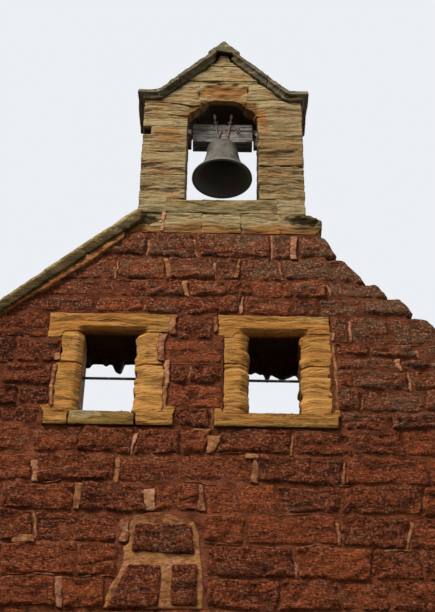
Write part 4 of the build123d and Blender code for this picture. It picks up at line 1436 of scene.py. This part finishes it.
class OBJECT_OT_bellcote_rubble(BellcoteOperator, bpy.types.Operator):
    """Lay the red rubble and its mortar"""
    bl_idname = "object.bellcote_rubble"
    bl_label = "Rubble walls"

    def execute(self, context):
        settings = context.scene.bellcote_masonry
        masonry = Masonry(settings)
        below = unseen_courses(masonry.draw)
        lay_front(masonry, [(low, high, ()) for low, high in below])
        lay_patch(masonry)
        shared_heights = [(low, high) for low, high, _ in LOWER_COURSES[1:]] + below
        upper = [(low, high - 0.004) for low, high in zip(REAR_WINDOW_COURSES, REAR_WINDOW_COURSES[1:])]
        lay_rear(masonry, upper + shared_heights)
        lay_returns(masonry, shared_heights)
        tree = stones_tree()
        material = MATERIALS["rubble"]
        fine = block_shape("fine_block", 22, 12)
        coarse = block_shape("coarse_block", 4, 3)
        strip = block_shape("strip_block", 4, 12)
        masonry.piece("rubble_front_seen", "fine", fine, tree, material)
        masonry.piece("rubble_broken_slope", "slope", fine, tree, material, rounding=1.4)
        masonry.piece("patch_stones", "patch", fine, tree, material, roughness=0.55, wander=0.009)
        masonry.piece("rubble_front_lower", "plain", coarse, tree, material)
        masonry.piece("rubble_rear", "rear", coarse, tree, material)
        masonry.piece("rubble_side_walls", "returns", coarse, tree, material)
        masonry.piece("pale_pointing", "pointing", strip, tree, MATERIALS["pointing"], roughness=0.3,
                      rounding=0.4, wander=0.02, bow=0.012)
        patch_mortar(MATERIALS["patch_mortar"])
        for block in (fine, coarse, strip):
            bpy.data.meshes.remove(block.data)
        mortar_core("gable_mortar", ["wall_below_windows", "wall_left_of_windows", "wall_between_windows",
                                     "wall_right_of_windows", "gable_head", "side_wall_left",
                                     "side_wall_right"], MATERIALS["joint"])
        return {"FINISHED"}


# How far weather and the stone's own shape carry a jamb's edge from its straight line: where the edge is,
# how far it moves above and below the joint, and the place up to which the move fades out.
JAMB_EDGES = (
    (-1.265, 0.0, -0.024, -1.17), (-0.625, -0.044, -0.044, -0.535), (-0.445, -0.034, 0.02, -0.53),
    (0.21, 0.022, 0.022, 0.12), (0.67, -0.026, -0.032, 0.76), (0.85, 0.045, 0.03, 0.77),
)


def jamb_shift(x, z):
    """How far each point of a jamb moves along the wall."""
    wave = 0.007 * np.sin(z * 31 + x * 9) + 0.005 * np.sin(z * 67)
    jamb = (z > SILL_LOW_Z + 0.11) & (z < LINTEL_LOW_Z + 0.005)
    shift = np.zeros(len(x))
    for edge, upper, lower, still in JAMB_EDGES:
        near = smoothstep(x, still, edge) * (np.abs(x - edge) < 0.1)
        shift += near * (lower + (upper - lower) * smoothstep(z, 6.37, 6.43) + wave)
    return shift * jamb


def move_window_edges(points):
    """The lintels' ends hang down a little beside the jambs, the sills' ends stand up, and the jambs'
    edges wander."""
    x, _, z = points.T
    ears = 0.065 * (x < -1.262) + 0.03 * ((x > -0.1) & (x < 0.115) | (x > 0.862))
    points[:, 2] -= ears * smoothstep(z, LINTEL_LOW_Z + 0.09, LINTEL_LOW_Z) * (z > LINTEL_LOW_Z - 0.02)
    horns = 0.05 * ((x < -1.262) | (x > -0.45) & (x < -0.3))
    horns += 0.035 * ((x > -0.1) & (x < 0.03) | (x > 0.86))
    points[:, 2] += horns * smoothstep(z, SILL_LOW_Z + 0.05, SILL_LOW_Z + 0.12) * (z < SILL_LOW_Z + 0.13)
    points[:, 0] += jamb_shift(x, z)


def touch_window(points, fields, finish):
    """The dressings: painted shade behind the chamfer and under the sills, orange under the lintels with
    painted shade over it, olive sills and a mossy lintel.
    """
    move_window_edges(points)
    x, y, z = points.T
    behind = smoothstep(y, FRONT_Y + 0.05, FRONT_Y + 0.08)
    soffit = z > LINTEL_LOW_Z - 0.01
    # Painted shade behind the chamfer, deepest in the soffits.
    fields["stain"] += behind * np.where(soffit, 0.95, 0.6)
    under = smoothstep(z, LINTEL_LOW_Z + 0.045, LINTEL_LOW_Z + 0.005) * soffit
    under = under * smoothstep(y, FRONT_Y, FRONT_Y + 0.03)
    fields["fresh"] += 0.8 * under
    # Painted shade over the orange under the lintels, more under the left window.
    fields["stain"] += np.where(x < -0.2, 0.65, 0.4) * under * (1 - behind)
    sill = 1 - smoothstep(z, SILL_LOW_Z + 0.12, SILL_LOW_Z + 0.13)
    # Painted shade under the sills.
    fields["stain"] += 0.55 * sill * smoothstep(z, SILL_LOW_Z + 0.035, SILL_LOW_Z)
    jamb = (z > SILL_LOW_Z + 0.13) & (z < LINTEL_LOW_Z - 0.01)
    finish[:, 0] += np.where(jamb, 0.35, -0.3)
    finish[:, 1] += 0.6 * sill * (np.abs(x + 0.897) < 0.256)
    fields["lichen"] += sill * spot_mask(points, (-1.04, SILL_LOW_Z + 0.1), (0.14, 0.06))
    fields["lichen"] += 0.55 * spot_mask(points, (0.78, LINTEL_TOP_Z - 0.02), (0.16, 0.05))
    finish[:, 1] += 0.35 * sill * (x > -0.1) * smoothstep(z, SILL_LOW_Z + 0.08, SILL_LOW_Z + 0.03)
    pale_edge = smoothstep(z, LINTEL_TOP_Z - 0.09, LINTEL_TOP_Z - 0.02) * (x > -0.1)
    finish[:, 1] += 0.2 * pale_edge
    finish[:, 0] += 0.5 * pale_edge
    finish[:, 1] += 0.45 * smoothstep(x, -0.6, -0.45) * (x < -0.3) * soffit
    finish[:, 0] += 0.4 * sill
    fields["stain"] += 0.1 * sill


# What hangs from the rear edge of the ragged soffits: place, drop, half width.
SOFFIT_TEETH = ((-1.12, 0.068, 0.045), (-0.96, 0.036, 0.03), (-0.852, 0.1, 0.048), (0.28, -0.012, 0.09),
                (0.406, 0.06, 0.022), (0.537, 0.036, 0.05), (0.69, 0.03, 0.03))
SOFFIT_DROPS = (-0.052, 0.042)


def touch_soffit(points, fields, finish):
    """The inner lintels: painted shade underneath, broken to a ragged edge at the rear."""
    x, y, z = points.T
    under = smoothstep(z, LINTEL_LOW_Z + 0.05, LINTEL_LOW_Z + 0.01)
    rear = smoothstep(y, REAR_Y - 0.16, REAR_Y - 0.06)
    drop = np.where(x < -0.2, *SOFFIT_DROPS) + 0.004 * np.sin(x * 97) + 0.004 * np.sin(x * 53 + 1)
    for place, depth, half in SOFFIT_TEETH:
        drop += depth * np.exp(-np.abs((x - place) / half) ** 3)
    fields["spall"] -= drop * under * rear
    # Painted shade under the inner lintels.
    fields["stain"] += 0.8 * under
    fields["depth"] *= 1 - 0.7 * under


# Joints that cut the jambs and the left sill into stones.
DRESSING_CUTS = {
    "left_window_left_jamb": ((Z_AXIS, 6.395),),
    "left_window_right_jamb": ((Z_AXIS, 6.38),),
    "right_window_left_jamb": ((Z_AXIS, 6.395),),
    "right_window_right_jamb": ((Z_AXIS, 6.38),),
    "left_window_sill": ((X_AXIS, -1.155), (X_AXIS, -0.64)),
}


class OBJECT_OT_bellcote_dressings(BellcoteOperator, bpy.types.Operator):
    """Cut the window dressings from golden sandstone"""
    bl_idname = "object.bellcote_dressings"
    bl_label = "Window dressings"

    def execute(self, context):
        settings = context.scene.bellcote_sandstone
        draw = random.Random(SEED + 1)
        for side in ("left", "right"):
            for stone in ("lintel", "left_jamb", "right_jamb", "sill"):
                node = f"{side}_window_{stone}"
                parts = stone_parts(node, DRESSING_CUTS.get(node, ()))
                worn_piece(node + "_stone", parts, MATERIALS["dressing"], "window_dressings", [node], draw,
                           settings.voxel, furrow=settings.furrow * 0.5, beds=26.0, lumps=0.006, rounds=1,
                           touch=touch_window)
        worn_piece("inner_lintel_stones", stone_parts("inner_lintels"), MATERIALS["rubble"],
                   "red_rubble", ["inner_lintels"], draw, 0.013, stretch=1.0, furrow=0.015, lumps=0.012,
                   touch=touch_soffit)
        paint("window_bars", MATERIALS["bars"])
        return {"FINISHED"}


def touch_coping(points, fields, finish):
    """The gable coping: pale on its weathered top, painted shade on its fascia, ochre near its bed."""
    height = (points[:, 2] - HEAD_Z + (-points[:, 0] - HEAD_X) * SLOPE) * math.cos(math.atan(SLOPE))
    points[:, 2] += 0.034 * smoothstep(points[:, 0], -2.6, -1.0) * smoothstep(height, 0.03, 0.06)
    points[:, 2] -= 0.03 * smoothstep(height, 0.03, 0.0)
    top = smoothstep(height, 0.044, 0.054)
    finish[:, 0] = 0.1 + 1.3 * top + 0.1 * np.sin(points[:, 0] * 23)
    fields["lichen"] += 0.35 * top
    # Painted shade on the fascia below the pale top.
    fields["stain"] += 0.5 * (1 - top)
    fields["fresh"] += 0.5 * (1 - top) * smoothstep(height, 0.01, -0.01)


def touch_bed(points, fields, finish):
    """The coping's bed: cleanest near the bellcote."""
    finish[:, 0] = 0.1 + 0.6 * smoothstep(points[:, 0], -2.0, -1.2)


def coping_bed(draw):
    """The brown mortar that shows along the wall under the coping."""
    ends = (SKEWPUTT_INNER_X + 0.02, -HEAD_X + 0.02)
    places = [ends[0] + (ends[1] - ends[0]) * step / 24 for step in range(25)]
    line = [(x, HEAD_Z - (-x - HEAD_X) * SLOPE) for x in places]
    under = [(x, z - draw.uniform(0.04, 0.06) - 0.055 * smoothstep(x, -1.9, -1.2))
             for x, z in reversed(line)]
    shape = slab(line + under, FRONT_Y - 0.036, 0.06)
    worn_piece("coping_bed", [shape], MATERIALS["patch_mortar"], "gable_coping", [], draw, 0.016,
               stretch=1.0, furrow=0.004, lumps=0.012, rounds=2, touch=touch_bed)


class OBJECT_OT_bellcote_gable_coping(BellcoteOperator, bpy.types.Operator):
    """Weather the coping of the left slope"""
    bl_idname = "object.bellcote_gable_coping"
    bl_label = "Gable coping"

    def execute(self, context):
        draw = random.Random(SEED + 2)
        nodes = [f"left_coping_{i}" for i in range(1, 6)] + ["left_coping_lower"]
        parts = [part for node in nodes for part in stone_parts(node)]
        slope = math.atan(SLOPE)
        for part in parts:
            lengthen(part, (math.cos(slope), 0, math.sin(slope)), 0.012)
        top_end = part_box("left_coping_1")[1].x
        move_corners(parts, (top_end - 0.01, -1, 7), (top_end + 0.01, 1, 9), (0.03, 0, 0.02))
        worn_piece("gable_coping_stones", parts, MATERIALS["coping"], "gable_coping", nodes, draw, 0.016,
                   stretch=1.0, furrow=0.008, beds=22.0, lumps=0.006, rounds=1, touch=touch_coping)
        worn_piece("skewputt_stone", stone_parts("left_skewputt"), MATERIALS["coping"], "gable_coping",
                   ["left_skewputt"], draw, 0.02, stretch=1.0, furrow=0.014, lumps=0.014, rounds=1)
        core_piece("gable_coping_joints", nodes, MATERIALS["crevice"], "gable_coping", 0.028, 0.014)
        coping_bed(draw)
        return {"FINISHED"}


def touch_arch(points, fields, finish, front, ragged, round_arch):
    """The arch: a centre stone that lost its skin, a fresh edge, torn corners and fuller haunches, with
    painted shade in the spalled face and the torn corners.
    """
    x, y, z = points.T
    spall = spot_mask(points, (0.0, 9.4), (0.25, 0.1)) * front
    fields["spall"] += spall * (0.013 + 0.01 * ragged)
    fields["fresh"] += spall * 0.7
    # Painted shade in the spalled face.
    fields["stain"] += spall * 0.12
    arris = front * smoothstep(round_arch, 1.3, 1.05) * smoothstep(z, 8.95, 9.1)
    fields["fresh"] += arris * 0.6
    fields["spall"] += arris * 0.01 * ragged
    torn_x = np.abs(x) + 0.012 * np.sin(z * 47) + 0.008 * np.sin(z * 91 + x * 20)
    corner = smoothstep(torn_x, 0.15, 0.2)
    corner *= smoothstep(torn_x, COTE_HALF_OPENING + 0.02, COTE_HALF_OPENING)
    corner *= smoothstep(z, SPRINGING_Z - 0.03, SPRINGING_Z + 0.02)
    corner *= smoothstep(z, SPRINGING_Z + 0.2, SPRINGING_Z + 0.17)
    corner *= 1 - smoothstep(y, FRONT_Y + 0.02, FRONT_Y + 0.09)
    away = ((np.abs(x) - 0.28) / 0.12) ** 2 + ((z - SPRINGING_Z - 0.1) / 0.12) ** 2
    haunch = np.exp(-away) * smoothstep(np.abs(x), 0.1, 0.2)
    haunch *= 1 - smoothstep(y, FRONT_Y + 0.1, FRONT_Y + 0.2)
    points[:, 0] -= np.sign(x) * 0.036 * haunch * (0.8 + 0.4 * ragged)
    points[:, 2] -= 0.046 * haunch * (0.8 + 0.4 * ragged)
    fields["spall"] += corner * 0.008
    fields["fresh"] += corner * np.where(x > 0, 0.5, -0.1)
    finish[:, 1] += corner * np.where(x > 0, 0.1, 0.4)
    # Painted shade in the torn corners.
    fields["stain"] += corner * np.where(x > 0, 0.4, 0.22)


# Fresh faces on the piers: middle, half size, and how fresh.
FRESH_SPOTS = (((-0.49, 8.82), (0.15, 0.13), 0.42), ((-0.53, 8.41), (0.2, 0.06), 0.38),
               ((0.36, 8.93), (0.07, 0.25), 0.34))


def touch_piers(points, fields, front):
    """The piers: fresh faces, a pocket darkened by painted shade and deep furrows. The base course is
    fresh at its foot.
    """
    x, y, z = points.T
    for middle, half_size, share in FRESH_SPOTS:
        fields["fresh"] += spot_mask(points, middle, half_size) * front * share
    pocket = spot_mask(points, (-0.685, 8.9), (0.075, 0.07), FRONT_Y + 0.1)
    # Painted shade, deeper inside the pocket.
    fields["stain"] += pocket * smoothstep(y, FRONT_Y + 0.02, FRONT_Y + 0.05)
    fields["fresh"] += 0.6 * smoothstep(z + 0.015 * np.sin(x * 9), 7.86, 7.74) * front
    fields["depth"] += smoothstep(z, 8.75, 8.55) * smoothstep(z, 8.1, 8.2) * 0.5
    fields["depth"] += smoothstep(z, 8.0, 7.9) * 0.2


def touch_opening(points, fields, ragged, round_arch):
    """The stone inside the opening: painted shade that deepens inwards, and fresh at the front of the
    haunches.
    """
    x, y, z = points.T
    within = (np.abs(x) < COTE_HALF_OPENING + 0.015) * (z > COTE_SILL_TOP_Z + 0.01) * (round_arch < 1.25)
    haunch = smoothstep(np.abs(x), 0.1, 0.27) * smoothstep(z, SPRINGING_Z - 0.15, SPRINGING_Z)
    fade = 0.04 + haunch * (0.1 + 0.08 * ragged)
    inside = np.clip((y - FRONT_Y - 0.03) / fade, 0, 1) * within
    # Painted shade inside the opening, darkest under the arch.
    fields["stain"] += inside * np.where(z > SPRINGING_Z - 0.1, 0.93, 0.6)
    fields["fresh"] += haunch * within * 0.6 * smoothstep(y, FRONT_Y + 0.02, FRONT_Y + 0.05)


def touch_foot(points, fields, finish, front):
    """The foot: a hollow at each end, mossy and darkened by painted shade, and moss on the sill."""
    x, y, z = points.T
    wave = 0.012 * np.sin(x * 27) + 0.008 * np.sin(x * 71 + 2)
    torn = np.column_stack((x, y, z + wave))
    left_hollow = spot_mask(torn, (-0.67, 7.85), (0.12, 0.045)) * front
    right_hollow = spot_mask(torn, (0.7, 7.855), (0.15, 0.045)) * front
    fields["spall"] += left_hollow * 0.045 + right_hollow * 0.02
    # Painted shade in the two hollows.
    fields["stain"] += left_hollow * 0.7 + right_hollow * 0.6
    fields["stain"] += 0.42 * smoothstep(x, 0.55, 0.7) * smoothstep(z, 7.95, 7.88)
    finish[:, 1] += 0.5 * spot_mask(torn, (-0.64, 7.88), (0.22, 0.07))
    finish[:, 1] += 0.3 * spot_mask(torn, (0.72, 7.86), (0.2, 0.09))
    finish[:, 1] += 0.5 * spot_mask(points, (0.02, 8.02), (0.5, 0.1))
    finish[:, 1] += 0.4 * smoothstep(x, 0.6, 0.75) * smoothstep(z, 7.95, 7.88)


# How square the arch is: 2 would be an ellipse.
ARCH_BEND = 2.6


def touch_cote(points, fields, finish):
    """Where the bellcote's faces are freshly broken, deeply furrowed, mossy or darkened by painted shade.
    The tympanum's top stands up between the saddle slabs."""
    x, y, z = points.T
    front = 1 - smoothstep(y, FRONT_Y + 0.01, FRONT_Y + 0.06)
    ragged = 0.5 + 0.5 * np.sin(x * 31 + z * 17) * np.sin(x * 13 - z * 43)
    rise = np.clip(z - SPRINGING_Z, 0, 1) / ARCH_RISE
    round_arch = ((np.abs(x) / COTE_HALF_OPENING) ** ARCH_BEND + rise ** ARCH_BEND) ** (1 / ARCH_BEND)
    touch_arch(points, fields, finish, front, ragged, round_arch)
    touch_piers(points, fields, front)
    touch_opening(points, fields, ragged, round_arch)
    touch_foot(points, fields, finish, front)
    finish[:, 0] += 0.5 * smoothstep(z, 9.3, 9.5) + 0.3 * smoothstep(z, 8.15, 8.0)
    finish[:, 0] -= 0.4 * (x > COTE_HALF_OPENING) * smoothstep(z, 8.1, 8.2) * smoothstep(z, 9.3, 9.1)
    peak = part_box("tympanum")[1].z
    points[:, 2] += 0.06 * smoothstep(z, peak - 0.07, peak - 0.02) * smoothstep(np.abs(x), 0.075, 0.055)


# Joints that cut the piers, the arch and the tympanum into stones.
COTE_CUTS = {
    "left_pier": ((Z_AXIS, 8.94), (Z_AXIS, 8.64), (Z_AXIS, 8.36)),
    "right_pier": ((Z_AXIS, 8.8), (Z_AXIS, 8.48)),
    "arch_left": ((Z_AXIS, 9.24),),
    "arch_right": ((Z_AXIS, 9.3),),
    "tympanum": ((X_AXIS, 0.0), (Z_AXIS, 9.732)),
}
COTE_PIECES = {
    "bellcote_base_stones": ["base_course", "left_foot_block", "right_end_block", "bellcote_sill"],
    "left_pier_stones": ["left_pier"],
    "right_pier_stones": ["right_pier"],
    "arch_stones": ["arch_left", "arch_right", "arch_centre", "tympanum"],
}


def pale_strip():
    """A strip of pale mortar that stands in the base course, leaning a little."""
    strip = bmesh.new()
    bmesh.ops.create_cube(strip, size=1.0)
    for vert in strip.verts:
        x, y, z = vert.co
        vert.co = Vector((-0.503 + x * 0.042 + z * 0.012, FRONT_Y + 0.012 + y * 0.05, 7.82 + z * 0.22))
    return strip


class OBJECT_OT_bellcote_housing(BellcoteOperator, bpy.types.Operator):
    """Carve the bellcote's piers, arch and base"""
    bl_idname = "object.bellcote_housing"
    bl_label = "Bellcote"

    def execute(self, context):
        settings = context.scene.bellcote_sandstone
        draw = random.Random(SEED + 3)
        for name, nodes in COTE_PIECES.items():
            parts = [part for node in nodes for part in stone_parts(node, COTE_CUTS.get(node, ()))]
            for part in parts:
                lengthen(part, (1, 0, 0), 0.012)
                if name.endswith("pier_stones"):
                    lengthen(part, (0, 0, 1), 0.003)
            worn_piece(name, parts, MATERIALS["bellcote"], "bellcote_stone", nodes, draw, settings.voxel,
                       furrow=settings.furrow * 0.85, beds=30.0, lumps=0.005, rounds=1, touch=touch_cote)
        nodes = [node for group in COTE_PIECES.values() for node in group]
        core_piece("bellcote_joints", nodes, MATERIALS["crevice"], "bellcote_stone", 0.03, 0.03)
        worn_piece("base_pale_joint", [pale_strip()], MATERIALS["pointing"], "bellcote_stone", [], draw,
                   0.008, stretch=1.0, furrow=0.006, lumps=0.012, tones=(0.95, 1.0))
        return {"FINISHED"}


def touch_saddle(points, fields, finish):
    """The bellcote's coping: painted shade under the apex stone, and paler along the upper part of its
    slabs.
    """
    x, y, z = points.T
    front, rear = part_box("apex_stone")[0].y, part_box("apex_stone")[1].y
    inner = smoothstep(y, front + 0.005, front + 0.03) * smoothstep(y, rear - 0.005, rear - 0.03)
    hollow = (np.abs(x) < 0.085) * smoothstep(z, APEX_LOW_Z + 0.09, APEX_LOW_Z + 0.05)
    # Painted shade in the hollow under the apex stone.
    fields["stain"] += 0.95 * hollow * inner
    line = APEX_LOW_Z + 0.1 - np.abs(x) * COTE_SLOPE
    finish[:, 0] += 0.35 * smoothstep(z, line - 0.04, line)


class OBJECT_OT_bellcote_saddle(BellcoteOperator, bpy.types.Operator):
    """Weather the moulded coping of the bellcote"""
    bl_idname = "object.bellcote_saddle"
    bl_label = "Bellcote coping"

    def execute(self, context):
        draw = random.Random(SEED + 4)
        nodes = ("left_kneeler", "right_kneeler", "left_saddle_slab", "right_saddle_slab", "apex_stone")
        for node in nodes:
            parts = stone_parts(node)
            lengthen(parts[0], (1, 0, 0), 0.004)
            if node == "apex_stone":
                move_corners(parts, (-0.075, -1, 9), (0.0, 1, APEX_LOW_Z + 0.09), (0.015, 0, -0.045))
                move_corners(parts, (0.0, -1, 9), (0.075, 1, APEX_LOW_Z + 0.09), (-0.01, 0, -0.075))
            worn_piece(node + "_stone", parts, MATERIALS["saddle"], "bellcote_coping", [node], draw, 0.01,
                       stretch=1.0, furrow=0.008, beds=26.0, lumps=0.007, rounds=1, touch=touch_saddle)
        core_piece("bellcote_coping_joints", nodes, MATERIALS["crevice"], "bellcote_coping", 0.022, 0.014)
        return {"FINISHED"}


class OBJECT_OT_bellcote_bell(BellcoteOperator, bpy.types.Operator):
    """Finish the bell, its beam and its ironwork"""
    bl_idname = "object.bellcote_bell"
    bl_label = "Bell and ironwork"

    def execute(self, context):
        finishes = {"bell": "bronze", "headstock": "timber", "hangers": "rust", "gudgeons": "rust",
                    "ring_bolt": "rust", "bearings": "bearing"}
        for node, finish in finishes.items():
            paint(node, MATERIALS[finish])
        return {"FINISHED"}


# The camera, in metres, radians and millimetres, and the lamps, in metres and watts
CAMERA_PLACE = (-0.023, -8.02, 1.6)
CAMERA_RISE = math.radians(34.7)
CAMERA_ROLL = math.radians(0.9)
CAMERA_LENS = 67.65
KEY_LAMP = {"place": (-6.5, -8.0, 18.5), "aim": (0.0, 0.0, 6.8), "size": 5.0, "power": 3900.0}
FILL_LAMP = {"place": (9.0, -12.0, 9.0), "aim": (0.0, 0.0, 6.0), "size": 8.0, "power": 450.0}
REAR_LAMP = {"place": (5.0, 15.0, 12.0), "aim": (0.0, 0.0, 5.0), "size": 9.0, "power": 1500.0}
SKY_LIGHT = 0.37
BACKDROP = srgb(236, 239, 243)


class OBJECT_OT_bellcote_stage(BellcoteOperator, bpy.types.Operator):
    """Set the floor, the lamps, the sky and the camera"""
    bl_idname = "object.bellcote_stage"
    bl_label = "Stage"

    def execute(self, context):
        scene = context.scene
        scene.view_settings.view_transform = "Standard"
        bpy.ops.mesh.primitive_plane_add(size=120.0)
        floor = context.object
        floor.name = "studio_floor"
        material, graph, shader, place = start_material("Pale floor")
        shade = graph.blend(graph.noise(place, 0.4, 3.0) * 0.2, srgb(226, 226, 224), srgb(214, 214, 212))
        seen = graph.node("ShaderNodeLightPath")
        shade = graph.blend(seen, srgb(96, 92, 86), shade)
        finish_material(graph, shader, shade, graph.noise(place, 8.0, 3.0), 0.001, roughness=0.9)
        floor.data.materials.append(material)
        for name, lamp in (("key_lamp", KEY_LAMP), ("fill_lamp", FILL_LAMP), ("rear_lamp", REAR_LAMP)):
            data = bpy.data.lights.new(name, "AREA")
            data.shape = "SQUARE"
            data.size = lamp["size"]
            data.energy = lamp["power"]
            light = bpy.data.objects.new(name, data)
            scene.collection.objects.link(light)
            light.location = lamp["place"]
            aim = Vector(lamp["aim"]) - light.location
            light.rotation_euler = aim.to_track_quat("-Z", "Y").to_euler()
        self.make_sky(scene)
        data = bpy.data.cameras.new("camera")
        data.lens = CAMERA_LENS
        data.sensor_width = 36.0
        data.clip_end = 200.0
        camera = bpy.data.objects.new("camera", data)
        scene.collection.objects.link(camera)
        turn = Euler((math.pi / 2 + CAMERA_RISE, 0, 0)).to_matrix() @ Matrix.Rotation(CAMERA_ROLL, 3, "Z")
        camera.matrix_world = Matrix.Translation(CAMERA_PLACE) @ turn.to_4x4()
        scene.camera = camera
        return {"FINISHED"}

    def make_sky(self, scene):
        """An even light that the camera, glass and metal see as a pale backdrop."""
        world = bpy.data.worlds.new("Studio")
        scene.world = world
        world.use_nodes = True
        world.node_tree.nodes.clear()
        graph = Graph(world.node_tree)
        path = world.node_tree.nodes.new("ShaderNodeLightPath")
        rays = [Term(graph, path.outputs[name]) for name in ("Is Camera Ray", "Is Glossy Ray",
                                                             "Is Transmission Ray")]
        seen = graph.combine("MINIMUM", rays[0] + rays[1] + rays[2], 1.0)
        light = graph.node("ShaderNodeBackground", {"Color": (1.0, 1.0, 1.0, 1.0), "Strength": SKY_LIGHT})
        backdrop = graph.node("ShaderNodeBackground", {"Color": (*BACKDROP, 1.0), "Strength": 1.0})
        mixed = graph.node("ShaderNodeMixShader", {0: seen, 1: light, 2: backdrop})
        graph.node("ShaderNodeOutputWorld", {"Surface": mixed})


OPERATORS = (
    OBJECT_OT_bellcote_rubble,
    OBJECT_OT_bellcote_dressings,
    OBJECT_OT_bellcote_gable_coping,
    OBJECT_OT_bellcote_housing,
    OBJECT_OT_bellcote_saddle,
    OBJECT_OT_bellcote_bell,
    OBJECT_OT_bellcote_stage,
)


class VIEW3D_PT_bellcote(bpy.types.Panel):
    """The pieces of the bellcote and their sizes and colours"""
    bl_label = "Bellcote"
    bl_idname = "VIEW3D_PT_bellcote"
    bl_space_type = "VIEW_3D"
    bl_region_type = "UI"
    bl_category = "Bellcote"

    def draw(self, context):
        for group in (context.scene.bellcote_masonry, context.scene.bellcote_sandstone,
                      context.scene.bellcote_bell):
            box = self.layout.box()
            for name in group.__annotations__:
                box.prop(group, name)
        for operator in OPERATORS:
            self.layout.operator(operator.bl_idname)


CLASSES = (MasonrySettings, SandstoneSettings, BellSettings, *OPERATORS, VIEW3D_PT_bellcote)


def register():
    """Makes the classes and the settings known."""
    for cls in CLASSES:
        bpy.utils.register_class(cls)
    bpy.types.Scene.bellcote_masonry = PointerProperty(type=MasonrySettings)
    bpy.types.Scene.bellcote_sandstone = PointerProperty(type=SandstoneSettings)
    bpy.types.Scene.bellcote_bell = PointerProperty(type=BellSettings)


def unregister():
    """Takes them away again, in the other order."""
    del bpy.types.Scene.bellcote_bell
    del bpy.types.Scene.bellcote_sandstone
    del bpy.types.Scene.bellcote_masonry
    for cls in reversed(CLASSES):
        bpy.utils.unregister_class(cls)


def main():
    """Makes every piece."""
    register()
    make_materials()
    GROUPS["worn_stone"] = worn_tree()
    for operator in OPERATORS:
        group, name = operator.bl_idname.split(".")
        getattr(getattr(bpy.ops, group), name)()


if __name__ == "__main__":
    main()
